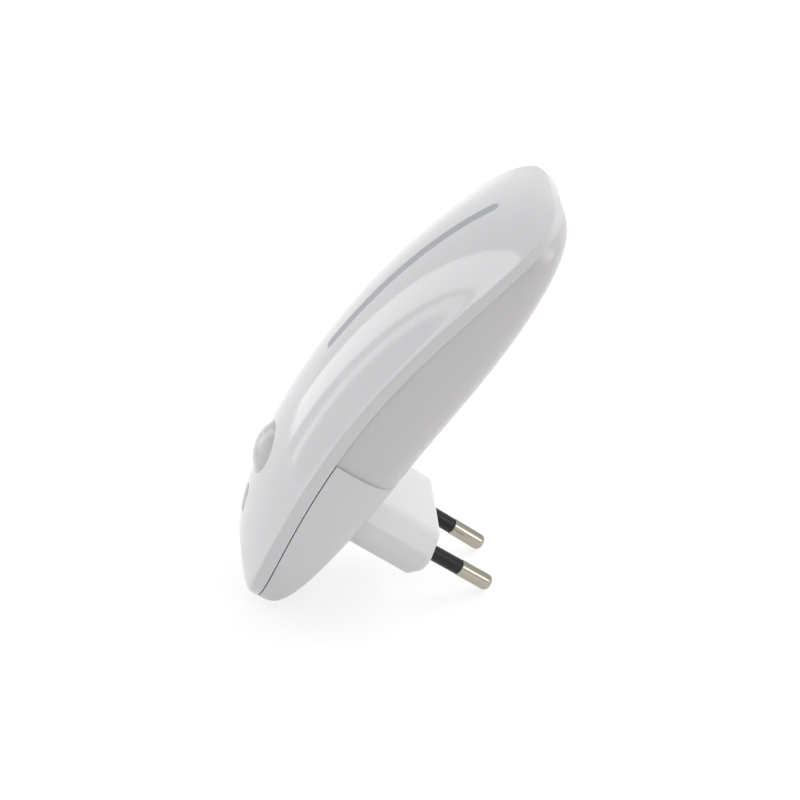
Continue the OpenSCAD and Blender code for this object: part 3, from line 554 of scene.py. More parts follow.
def slot_outline(width: float, low: float, high: float, steps: int = 24) -> list[Pair]:
    """Outline of a slot with round ends, anticlockwise."""
    radius = width / 2
    top = arc((0, high - radius), radius, 0, 180, steps)
    bottom = arc((0, low + radius), radius, 180, 360, steps)
    return top + bottom


def axis_at(origin: Triple, direction: Vector) -> Matrix:
    """Place with its +Z along a direction."""
    turn = direction.to_track_quat("Z", "Y").to_matrix().to_4x4()
    return Matrix.Translation(origin) @ turn


def prism(name: str, outline: Sequence[Pair], place: Matrix, low: float, high: float) -> Piece:
    """Straight solid over an outline, from one height to another on a place's +Z."""
    return loft(name, [
        np.array([tuple(place @ Vector((x, y, height))) for x, y in outline])
        for height in (low, high)
    ])


def joined(name: str, parts: Iterable[Piece]) -> Piece:
    """Puts solids that stand apart into one object, and removes them."""
    points: list[Triple] = []
    faces: list[list[int]] = []
    for part in parts:
        start = len(points)
        points += [tuple(corner.co / MM) for corner in part.data.vertices]
        faces += [[start + index for index in face.vertices] for face in part.data.polygons]
        bpy.data.objects.remove(part)
    return new_piece(name, points, faces)


def in_metres(place: Matrix) -> Matrix:
    """The same place with its origin in metres."""
    return Matrix.Translation(place.translation * MM) @ place.to_3x3().to_4x4()


class Cut(Enum):
    """How one solid changes another."""

    REMOVE = "DIFFERENCE"
    ADD = "UNION"
    KEEP = "INTERSECT"


def carve(piece: Piece, cut: Cut, tools: Sequence[Piece]) -> None:
    """Changes a piece by other solids, which are used up.

    Args:
        piece: The piece.
        cut: What the solids do to it.
        tools: The solids.
    """
    for tool in tools:
        modifier = piece.modifiers.new(cut.name, "BOOLEAN")
        modifier.operation = cut.value
        modifier.solver = "EXACT"
        modifier.object = tool
        tool.hide_render = True
    settled(piece)
    for tool in tools:
        bpy.data.objects.remove(tool)


def smooth(piece: Piece, sharp_degrees: float = 32.0) -> Piece:
    """Shades a piece smooth, with edges kept where its faces turn by more than an angle."""
    piece.data.shade_smooth()
    piece.data.set_sharp_from_angle(angle=math.radians(sharp_degrees))
    return piece


def dress(piece: Piece, material: Material) -> Piece:
    """Gives a piece its material."""
    piece.data.materials.clear()
    piece.data.materials.append(material)
    return piece


def finished(piece: Piece, finish: "Finish", sharp_degrees: float = 32.0) -> Piece:
    """Dresses a piece in a finish and shades it smooth."""
    return smooth(dress(piece, finish.material()), sharp_degrees)


# ---- Finishes ----


class ShaderTree(Tree):
    """A material's node tree around its Principled shader."""

    def __init__(self, name: str) -> None:
        """Makes the material."""
        self.material = bpy.data.materials.new(name)
        self.material.use_nodes = True
        super().__init__(self.material.node_tree)
        self.shader = next(n for n in self.tree.nodes if n.type == "BSDF_PRINCIPLED")

    def set(self, **values: object) -> None:
        """Feeds sockets of the shader, by name with underscores for spaces."""
        for label, value in values.items():
            feed(self.tree, value, self.shader.inputs[label.replace("_", " ")])

    def place(self, sizes: Sequence[float]) -> Socket:
        """Object coordinates counted in cells of a size in millimetres along each axis."""
        where = self.node("ShaderNodeTexCoord").outputs["Object"]
        scale = [1 / (size * MM) for size in sizes]
        return self.node("ShaderNodeMapping", Vector=where, Scale=scale).outputs[0]

    def group(self, tree: NodeTree, **values: object) -> Node:
        """Places a shared effect with its own values."""
        return self.node("ShaderNodeGroup", {"node_tree": tree}, **values)

    def mix(self, share: Term, start: Socket, end: Sequence[float]) -> Socket:
        """Colour that goes from one to another by a share."""
        return mixed_color(self, share, start, (*end, 1.0))

    def mark(self, name: str) -> Term:
        """A mark that the piece's own mesh carries."""
        node = self.node("ShaderNodeAttribute", {"attribute_name": name})
        return Term(self.tree, node.outputs["Fac"])

    def inside(self, low: Sequence[float], high: Sequence[float]) -> Term:
        """1 inside a box between two corners in millimetres, and 0 outside it."""
        where = self.node("ShaderNodeTexCoord").outputs["Object"]
        split = self.node("ShaderNodeSeparateXYZ", Vector=where)
        parts = []
        for value, start, end in zip(split.outputs, low, high):
            term = Term(self.tree, value)
            parts.append(term.apply("GREATER_THAN", start * MM))
            parts.append(term.apply("LESS_THAN", end * MM))
        return math.prod(parts[1:], start=parts[0])

    def bump(self, height: Socket, depth: float, strength: float) -> None:
        """Raises the surface by a height, depth in millimetres."""
        node = self.node("ShaderNodeBump", Strength=strength, Distance=depth * MM, Height=height)
        self.set(Normal=node.outputs["Normal"])


class Effect(Tree):
    """A shader node group that several finishes share."""

    def __init__(self, name: str, inputs: dict[str, str], outputs: dict[str, str]) -> None:
        """Makes the group with its sockets, given by name and kind."""
        super().__init__(bpy.data.node_groups.new(name, "ShaderNodeTree"))
        for way, sockets in (("INPUT", inputs), ("OUTPUT", outputs)):
            for label, kind in sockets.items():
                kind = f"NodeSocket{kind}"
                self.tree.interface.new_socket(label, in_out=way, socket_type=kind)
        self.entry = self.node("NodeGroupInput").outputs

    def term(self, label: str) -> Term:
        """The number that comes in by that name."""
        return Term(self.tree, self.entry[label])

    def toned(self, gain: Term) -> Socket:
        """The base colour times a gain."""
        way = {"operation": "SCALE"}
        base = self.entry["Base"]
        return self.node("ShaderNodeVectorMath", way, Vector=base, Scale=gain).outputs[0]

    def give(self, **results: object) -> NodeTree:
        """Puts the results out by their names and gives the finished group."""
        self.node("NodeGroupOutput", **results)
        return self.tree


def mixed_color(tree: Tree, share: object, start: Socket, end: object) -> Socket:
    """Colour that goes from one to another by a share, in any shader tree."""
    node = tree.node("ShaderNodeMix", {"data_type": "RGBA"}, Factor=share)
    for value, place in ((start, 6), (end, 7)):
        feed(tree.tree, value, node.inputs[place])
    return node.outputs[2]


@cache
def grain_effect() -> NodeTree:
    """Fine grain of a moulded or machined surface.

    Returns:
        A group that gives a height, a colour and a roughness from a base of each.
    """
    numbers = dict.fromkeys(("Tone", "Roughness", "Spread"), "Float")
    effect = Effect(
        "surface_grain",
        {"Vector": "Vector", "Base": "Color"} | numbers,
        {"Color": "Color", "Roughness": "Float", "Height": "Float"},
    )
    noise = effect.node("ShaderNodeTexNoise", Scale=1.0, Detail=4.0, Vector=effect.entry["Vector"])
    level = Term(effect.tree, noise.outputs["Fac"])
    centred = level - 0.5
    rough = effect.term("Roughness") + centred * effect.term("Spread")
    color = effect.toned(1 + centred * effect.term("Tone"))
    return effect.give(Color=color, Roughness=rough, Height=level)


@cache
def tracks_effect() -> NodeTree:
    """Copper tracks that show through a board's mask.

    Returns:
        A group that gives a colour from a base and the tracks' own.
    """
    effect = Effect(
        "board_tracks", {"Vector": "Vector", "Base": "Color", "Track": "Color"},
        {"Color": "Color"},
    )
    flat = effect.node(
        "ShaderNodeVectorRotate", {"rotation_type": "X_AXIS"},
        Angle=-math.pi / 2, Vector=effect.entry["Vector"],
    )
    bricks = effect.node(
        "ShaderNodeTexBrick", Scale=1.0, Mortar_Size=0.06, Brick_Width=2.6, Row_Height=0.8,
        Vector=flat.outputs[0],
    )
    base, track = effect.entry["Base"], effect.entry["Track"]
    return effect.give(Color=mixed_color(effect, bricks.outputs["Fac"], base, track))


@cache
def facet_shade_effect() -> NodeTree:
    """Small facets, each with a random tone of painted shade for how light falls on it.

    Returns:
        A group that gives a colour and a height from a base and a contrast.
    """
    effect = Effect(
        "facet_tones", {"Vector": "Vector", "Base": "Color", "Contrast": "Float"},
        {"Color": "Color", "Height": "Float"},
    )
    cells, edges = (
        effect.node(
            "ShaderNodeTexVoronoi", {"feature": feature},
            Scale=1.0, Randomness=0.55, Vector=effect.entry["Vector"],
        )
        for feature in ("F1", "DISTANCE_TO_EDGE")
    )
    split = effect.node("ShaderNodeSeparateColor", Color=cells.outputs["Color"])
    # painted shade: each facet's random tone stands in for the light that falls on it
    tone = 1 + (Term(effect.tree, split.outputs[0]) - 0.5) * effect.term("Contrast")
    return effect.give(Color=effect.toned(tone), Height=edges.outputs["Distance"])


@dataclass(frozen=True)
class Finish:
    """A moulded, lacquered or plated surface.

    Attributes:
        name: The material's name.
        color: Its colour, as linear red, green and blue.
        roughness: Its roughness.
        spread: How much the roughness varies.
        tone: How much the colour varies.
        grain: Size of its grain, along each axis, in millimetres.
        relief: Depth of the grain, in millimetres.
        metallic: Whether it is metal.
        coat: Weight of the clear gloss over it.
        through: Share of the light that passes through.
        milk: Share of the light that scatters inside.
        shine: The index of refraction.
    """

    name: str
    color: Triple
    roughness: float = 0.4
    spread: float = 0.1
    tone: float = 0.04
    grain: Triple = (1.0, 1.0, 1.0)
    relief: float = 0.01
    metallic: float = 0.0
    coat: float = 0.0
    through: float = 0.0
    milk: float = 0.0
    shine: float = 1.48

    @cache
    def material(self) -> Material:
        """Makes the material once, and gives it again from then on.

        Returns:
            The material.
        """
        made = ShaderTree(self.name)
        made.set(Metallic=self.metallic, IOR=self.shine)
        if self.coat:
            made.set(Coat_Weight=self.coat, Coat_Roughness=0.04)
        if self.through:
            made.set(Transmission_Weight=self.through)
        if self.milk:
            made.set(Subsurface_Weight=self.milk, Subsurface_Scale=3 * MM)
        grain = made.group(
            grain_effect(), Vector=made.place(self.grain), Base=(*self.color, 1.0),
            Tone=self.tone, Roughness=self.roughness, Spread=self.spread,
        )
        made.set(Base_Color=grain.outputs["Color"], Roughness=grain.outputs["Roughness"])
        made.bump(grain.outputs["Height"], self.relief, 0.5)
        self.extend(made, grain.outputs["Color"])
        return made.material

    def extend(self, made: ShaderTree, color: Socket) -> None:
        """Adds what a finish has of its own, over its grained colour."""


@dataclass(frozen=True)
class BoardFinish(Finish):
    """A circuit board's mask with the tracks that show through it."""

    track: Triple = (0.1, 0.36, 0.18)
    cell: float = 1.0

    def extend(self, made: ShaderTree, color: Socket) -> None:
        """Adds the tracks."""
        cells = made.place((self.cell,) * 3)
        track = (*self.track, 1.0)
        tracks = made.group(tracks_effect(), Vector=cells, Base=color, Track=track)
        made.set(Base_Color=tracks.outputs["Color"])


@dataclass(frozen=True)
class FacetFinish(Finish):
    """A clouded lens whose facets show through as patches of painted shade, a random tone each."""

    facet: float = 2.1
    contrast: float = 0.13
    facet_relief: float = 0.06

    def extend(self, made: ShaderTree, color: Socket) -> None:
        """Adds the facets: painted shade in the colour, and a bump along their edges."""
        cells = made.place((self.facet,) * 3)
        facets = made.group(facet_shade_effect(), Vector=cells, Base=color, Contrast=self.contrast)
        # the facets' painted shade goes into the base colour
        made.set(Base_Color=facets.outputs["Color"])
        made.bump(facets.outputs["Height"], self.facet_relief, 0.6)


@dataclass(frozen=True)
class MarkedFinish(Finish):
    """A finish with a second surface where the piece's mesh carries a mark."""

    mark: str = "tinned"
    mark_color: Triple = (0.72, 0.72, 0.7)
    mark_metallic: float = 1.0

    def extend(self, made: ShaderTree, color: Socket) -> None:
        """Adds the second surface."""
        share = made.mark(self.mark)
        made.set(Base_Color=made.mix(share, color, self.mark_color))
        if self.mark_metallic:
            made.set(Metallic=share * self.mark_metallic)


@dataclass(frozen=True)
class PatchedFinish(Finish):
    """A finish with bands or patches of a second colour, given as boxes in millimetres."""

    patches: tuple[tuple[Triple, Triple], ...] = ()
    patch_color: Triple = (0.02, 0.02, 0.02)
    patch_metallic: float = 0.0

    def extend(self, made: ShaderTree, color: Socket) -> None:
        """Adds the patches."""
        boxes = [made.inside(low, high) for low, high in self.patches]
        share = sum(boxes[1:], boxes[0]).apply("MINIMUM", 1.0)
        made.set(Base_Color=made.mix(share, color, self.patch_color))
        if self.metallic != self.patch_metallic:
            made.set(Metallic=self.metallic + share * (self.patch_metallic - self.metallic))


COVER_FINISH = Finish(
    "gloss_white", (0.6, 0.6, 0.615), 0.1, 0.02, 0.01, (7, 7, 7), 0.002, coat=0.3, milk=0.05
)
HOUSING_FINISH = Finish(
    "satin_white", (0.615, 0.603, 0.617), 0.34, 0.06, 0.02, (0.8, 0.8, 0.8), 0.005
)
DIFFUSER_FINISH = Finish(
    "opal_white", (0.555, 0.545, 0.547), 0.2, 0.04, 0.02, (5, 5, 5), 0.003, milk=0.2
)
PLUG_FINISH = Finish("satin_ivory", (0.64, 0.64, 0.642), 0.36, 0.08, 0.02, (0.7,) * 3, 0.006)
BAR_FINISH = Finish("frosted_guide", (0.365, 0.376, 0.394), 0.5, 0.06, 0.03, (0.6,) * 3, 0.004)
# the lens's facets carry painted shade in their colour
LENS_FINISH = FacetFinish(
    "milky_lens", (0.72, 0.725, 0.735), 0.16, 0.05, 0.05, (2, 2, 2), 0.006, through=0.3
)
WINDOW_FINISH = Finish("grey_window", (0.27, 0.274, 0.28), 0.2, 0.04, 0.03, (2, 2, 2), 0.003)
NICKEL_FINISH = Finish(
    "plated_nickel", (0.43, 0.403, 0.338), 0.16, 0.12, 0.25, (0.35, 8, 0.35), 0.006, metallic=1.0
)
SLEEVE_FINISH = Finish(
    "black_sleeve", (0.012, 0.0118, 0.0135), 0.36, 0.1, 0.3, (0.6,) * 3, 0.008, shine=1.38
)
SCREW_FINISH = Finish("zinc_screw", (0.62, 0.63, 0.64), 0.32, 0.2, 0.2, (0.5,) * 3, 0.006, 1.0)
BRASS_FINISH = Finish("brass_strip", (0.72, 0.5, 0.2), 0.3, 0.2, 0.2, (0.3, 4, 4), 0.006, 1.0)
WIRE_FINISH = Finish("tinned_wire", (0.68, 0.68, 0.67), 0.35, 0.2, 0.15, (0.3, 3, 3), 0.004, 1.0)
LED_FINISH = MarkedFinish(
    "led_package", (0.85, 0.85, 0.82), 0.4, 0.1, 0.05, (0.5,) * 3, 0.004,
    mark="phosphor", mark_color=(0.86, 0.62, 0.08), mark_metallic=0.0,
)
CHIP_FINISH = MarkedFinish("black_package", (0.025, 0.025, 0.027), 0.55, 0.1, 0.3, (0.3,) * 3)
PACKED_FINISHES = {
    "lens_retainer": HOUSING_FINISH,
    "left_contact": BRASS_FINISH,
    "right_contact": BRASS_FINISH,
    "driver_board": BoardFinish("green_board", (0.025, 0.17, 0.07), 0.35, coat=0.3),
    "led_board": BoardFinish(
        "white_board", (0.74, 0.74, 0.72), 0.4, coat=0.2, track=(0.62, 0.62, 0.6), cell=1.6
    ),
    "film_capacitor": PatchedFinish(
        "yellow_case", (0.62, 0.4, 0.05), 0.35, 0.08, 0.05, (2, 2, 2), coat=0.2,
        patches=tuple(
            ((-5.0, -30.0, z), (reach, 0.0, z + 0.7)) for z, reach in ((2.4, 4.6), (0.6, 2.2))
        ),
    ),
    "reservoir_capacitor": PatchedFinish(
        "dark_sleeve", (0.025, 0.03, 0.06), 0.3, coat=0.3,
        patches=(((7.4, -40.0, -22.0), (9.5, -20.0, -15.9)),), patch_color=(0.5, 0.5, 0.48),
    ),
    "bridge_rectifier": CHIP_FINISH,
    "fuse_resistor": PatchedFinish(
        "lacquered_body", (0.42, 0.26, 0.13), 0.35, coat=0.4,
        patches=tuple(((-6.0, -40.0, z), (-3.0, -20.0, z + 0.6)) for z in (-20.9, -19.4, -17.9)),
        patch_color=(0.28, 0.02, 0.015),
    ),
    "motion_sensor": PatchedFinish(
        "plated_can", (0.66, 0.65, 0.62), 0.25, 0.1, 0.1, (2, 2, 2), 0.004, 1.0,
        patches=(((-2.01, -37.3, -3.13), (2.01, -36.9, -0.11)),), patch_color=(0.03, 0.02, 0.03),
    ),
    "light_sensor": PatchedFinish(
        "coated_cell", (0.5, 0.27, 0.12), 0.25, coat=0.6,
        patches=tuple(
            ((x, -35.0, -17.4), (x + 0.35, -34.4, -13.8)) for x in (-1.2, -0.4, 0.4, 1.2)
        ),
        patch_color=(0.7, 0.55, 0.3),
    ),
}


# ---- The pieces ----


def register(piece: Piece, node: str) -> None:
    """Hands a finished piece to the frame in place of a node, and reports it."""
    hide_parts(node)
    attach(piece, ROOT)
    triangles = sum(len(face.vertices) - 2 for face in piece.data.polygons)
    LOG.info("%s stands for %s with %d triangles", piece.name, node, triangles)


@dataclass(frozen=True)
class Fasteners:
    """Places and sizes of the screws, of their holes and of the posts round them."""

    board_front: float = -32.51
    board_back: float = -30.91
    board_posts: tuple[Pair, ...] = ((14.97, 8.65), (-14.97, 8.65), (0.0, -20.15))
    led_posts: tuple[Pair, ...] = ((9.22, 22.43), (-9.22, 22.43), (9.22, 68.57), (-9.22, 68.57))
    lugs: tuple[Pair, ...] = ((9.52, -11.08), (-9.52, -11.08))
    closing: tuple[Pair, ...] = ((15.3, -15.5), (-15.3, -15.5))
    post_r: float = 2.45
    small_r: float = 1.1
    small_pilot: float = 1.15
    small_pass: float = 1.35
    small_head_r: float = 1.98
    small_head_h: float = 1.21
    closing_r: float = 1.45
    closing_pilot: float = 1.5
    closing_pass: float = 1.7
    closing_sink: float = 2.86
    closing_head_r: float = 2.61
    closing_head_h: float = 1.74
    closing_seat: float = -23.3
    closing_tip: float = -35.61
    closing_post_r: float = 3.9
    closing_boss_r: float = 2.8
    closing_y: float = -31.38
    closing_gap: float = 0.15
    led_pilot: float = 4.1
    board_pilot: float = 5.3
    lug_pilot: float = 2.9
    lug_seat: float = -24.0
    lug_tip: float = -19.4
    board_tip: float = -25.91
    led_tip: float = -36.31


def rods(name: str, places: Iterable[Pair], radius: float, low: float, high: float) -> list[Piece]:
    """Straight round solids along the depth, from one depth to another.

    Args:
        name: The objects' name.
        places: Their axes, across and up.
        radius: Their radius.
        low: The depth of their front ends.
        high: The depth of their back ends.

    Returns:
        The objects.
    """
    profile = [(0, low), (radius, low), (radius, high), (0, high)]
    return [lathe(name, profile, axis_at((x, 0, z), WALLWARD), 48) for x, z in places]


def slab(name: str, across: Pair, depth: Pair, rise: Pair) -> Piece:
    """Rectangular solid between limits across, in depth and in height."""
    (left, right), (low, high) = across, rise
    corners = [(left, low), (right, low), (right, high), (left, high)]
    return prism(name, corners, UPRIGHT, -depth[1], -depth[0])


@dataclass(frozen=True)
class FrontCover:
    """The crowned front cover with its rim band, its slit and its two holes."""

    casing: Casing = field(default_factory=Casing)
    fasteners: Fasteners = field(default_factory=Fasteners)
    wall: float = 1.6
    crease_share: float = 0.986
    crease_lift: float = 0.1
    nose_share: float = 0.14
    nose_lift: float = 0.8
    nose_power: float = 6.0
    foot_radius: float = 0.35
    slit_width: float = 3.0
    slit_low: float = 27.4
    slit_high: float = 77.6
    lens_height: float = -1.75
    lens_depth: float = 5.35
    lens_tilt: float = 5.0
    hole_r: float = 6.3
    mouth_r: float = 6.42
    edge_rise: float = 3.95
    pocket_r: float = 7.55
    collar_in: float = 8.55
    collar_out: float = 9.65
    collar_low: float = -0.85
    seat_rise: float = 1.475
    window_height: float = -16.1
    window_width: float = 4.0
    window_length: float = 7.0
    core_end: float = -20.0
    crown_rings: int = 64
    hole_steps: int = 144

    @property
    def lens_axis(self) -> Matrix:
        """Place of the dome's axis, with its origin at the dome's centre."""
        tilt = math.radians(self.lens_tilt)
        depth = self.casing.cover_y(0.0, self.lens_height) + self.lens_depth
        return axis_at((0, depth, self.lens_height), Vector((0, -math.cos(tilt), -math.sin(tilt))))

    @property
    def window_axis(self) -> Matrix:
        """Place of the window's axis, with its origin on the cover's face and +Y upwards."""
        height = self.window_height
        slope = self.casing.cover_slope(height)
        turn = Matrix.Rotation(math.radians(90) + slope, 4, "X")
        return Matrix.Translation((0, self.casing.cover_y(0.0, height), height)) @ turn

    def shell(self, name: str, hollow: bool, depth: float = 0.8) -> Piece:
        """Lofts the cover by rings from its middle outside.

        Args:
            name: The object's name.
            hollow: Whether it is the cover's shell, or a solid that fills it and goes on
                straight back.
            depth: How far the solid lies inside the cover's face.

        Returns:
            The shell or the solid.
        """
        keys = ("wall", "crease_share", "crease_lift", "foot_radius", "nose_share", "nose_lift")
        sizes = {key.replace("_", " ").capitalize(): getattr(self, key) for key in keys}
        loom = ShellTree(f"{name}_rings", self.casing, sizes)
        rule = loom.rule
        wall, share, rise, foot, nose_share, nose_lift = (loom.size(label) for label in sizes)

        def nose(turn: Term) -> Number:
            """1 at the casing's lower end, fading to 0 towards its sides."""
            return at_least(-cosine(turn), 0.0) ** self.nose_power

        def reach(turn: Term) -> Number:
            """Share at which the crown turns into the crease, sooner at the lower end."""
            return share - nose_share * nose(turn)

        def lift(turn: Term) -> Number:
            """Level at which the crease ends on the band, later at the lower end."""
            return rise + nose_lift * nose(turn)

        def on_crown(share: Number, turn: Term, depth: Number) -> list[Number]:
            """Point of the crown, outside or on the inside of the wall."""
            margin = 1 - share**rule.outline_power
            spot = rule.spot(turn, margin, rule.rim_draft + depth, depth)
            return [spot.x, rule.crease_y(spot.z) + depth - rule.crown_at(spot), spot.z]

        def on_band(turn: Term, level: Number, depth: Number) -> list[Number]:
            """Point of the rim band, level 0 at the crease and 1 at the parting line."""
            spot = rule.spot(turn, 0.0, rule.rim_draft * (1 - level) + depth, depth)
            crease = rule.crease_y(spot.z) + depth
            return [spot.x, crease + (rule.parting_y(spot.z) - crease) * level, spot.z]

        def straight_back(share: Number, turn: Term, level: Number) -> list[Number]:
            """Point behind the band, level 0 at the parting line and 1 at the core's end."""
            spot = rule.spot(turn, 1 - share**rule.outline_power, depth, depth)
            parting = rule.parting_y(spot.z)
            return [spot.x, parting + (self.core_end - parting) * level, spot.z]

        quarter = math.pi / 2
        foot_level = 1 - foot / rule.rim_height
        if hollow:
            loom.zone(self.crown_rings, lambda t, a: on_crown(sine(t * quarter) * reach(a), a, 0.0))
            loom.zone(
                8,
                lambda t, a: curve_through(
                    on_crown(reach(a), a, 0.0), on_band(a, 0.0, 0.0), on_band(a, lift(a), 0.0), t
                ),
            )
            loom.zone(4, lambda t, a: on_band(a, lift(a) + (foot_level - lift(a)) * t, 0.0))
            loom.zone(
                5,
                lambda t, a: curve_through(
                    on_band(a, foot_level, 0.0), on_band(a, 1.0, 0.0), on_band(a, 1.0, foot), t
                ),
            )
            loom.zone(1, lambda t, a: on_band(a, 1.0, foot + (wall - foot) * t))
            loom.zone(3, lambda t, a: on_band(a, 1 - t, wall))
            loom.zone(40, lambda t, a: on_crown(sine((1 - t) * quarter), a, wall))
        else:
            loom.zone(40, lambda t, a: on_crown(sine(t * quarter), a, depth))
            loom.zone(2, lambda t, a: on_band(a, t, depth))
            loom.zone(1, lambda t, a: straight_back(1.0, a, t))
            loom.zone(4, lambda t, a: straight_back(at_least(1 - t, 0.0), a, 1.0))
        loom.finish(COVER_FINISH.material())
        return loom.make(name)

    def ring(self, reach: float, height: np.ndarray | float) -> np.ndarray:
        """Places a ring round the dome's axis.

        Args:
            reach: The ring's radius.
            height: Its height, or its own height for each angle.

        Returns:
            The ring's points.
        """
        angles = np.linspace(0, math.tau, self.hole_steps, endpoint=False)
        rise = np.broadcast_to(height, angles.shape)
        flat = np.stack([reach * np.cos(angles), reach * np.sin(angles), rise], axis=1)
        return np.array(self.lens_axis.translation) + flat @ np.array(self.lens_axis.to_3x3()).T

    def face_ring(self, reach: float, over: float) -> np.ndarray:
        """Places a ring round the dome's axis on the cover's face, or over it.

        Args:
            reach: The ring's radius.
            over: How far it lies in front of the face.

        Returns:
            The ring's points.
        """
        rise = np.full(self.hole_steps, self.lens_depth)
        for _ in range(12):
            points = self.ring(reach, rise)
            face = self.casing.cover_y(points[:, 0], points[:, 2]) - over
            rise = rise + (points[:, 1] - face)
        return self.ring(reach, rise)

    def mouth_tool(self) -> Piece:
        """Makes the solid that opens the dome's hole and rounds the cover's face into it.

        Returns:
            A solid with the room for the dome's flange below, the hole's straight edge in the
            middle and a ring that leaves the hole along the cover's own face above.
        """
        level, on_face = self.ring, self.face_ring
        low = self.collar_low - 0.01
        edge = level(self.hole_r, self.edge_rise)
        corner, start = on_face(self.hole_r, 0.0), on_face(self.mouth_r, 0.004)
        rings = [
            level(self.collar_in, low), level(self.collar_in, self.seat_rise),
            level(self.pocket_r, self.seat_rise), level(self.pocket_r, self.edge_rise - 0.02),
            level(self.hole_r, self.edge_rise - 0.02),
        ]
        rings += [
            (1 - t) ** 2 * start + 2 * t * (1 - t) * corner + t**2 * edge
            for t in np.linspace(1, 0, 15)
        ]
        rings.append(on_face(self.mouth_r, 3.0))
        return loft("mouth_tool", rings)

    def bosses(self) -> Piece:
        """Makes the collar and the bosses, trimmed to the cover's inside."""
        held, far = self.fasteners, -60.0
        solids = rods("boss", held.led_posts, held.post_r, far, held.board_front)
        end = held.closing_y - held.closing_gap
        solids += rods("boss", held.closing, held.closing_boss_r, far, end)
        radius, low = self.collar_out, self.collar_low
        profile = [(0, low), (radius, low), (radius, 12), (0, 12)]
        solids.append(lathe("collar", profile, self.lens_axis))
        solid = joined("inner_solids", solids)
        carve(solid, Cut.KEEP, [self.shell("cover_core", hollow=False)])
        return solid

    def build(self) -> Piece:
        """Makes the cover, cut and dressed.

        Returns:
            The cover.
        """
        held = self.fasteners
        cover = self.shell("cover_with_band", hollow=True)
        carve(cover, Cut.ADD, [self.bosses()])
        slit = slot_outline(self.slit_width, self.slit_low, self.slit_high)
        half = self.window_length / 2
        window = slot_outline(self.window_width, -half, half)
        tools = [
            prism("slit_tool", slit, UPRIGHT, 30, 60),
            prism("window_tool", window, self.window_axis, -6, 6),
            self.mouth_tool(),
        ]
        front = held.board_front
        deepest = front - held.led_pilot
        tools += rods("pilot", held.led_posts, held.small_pilot, deepest, front + 1)
        low, high = held.closing_tip - 0.3, held.closing_y + 1
        tools += rods("pilot", held.closing, held.closing_pilot, low, high)
        carve(cover, Cut.REMOVE, [joined("cover_tools", tools)])
        return finished(cover, COVER_FINISH)


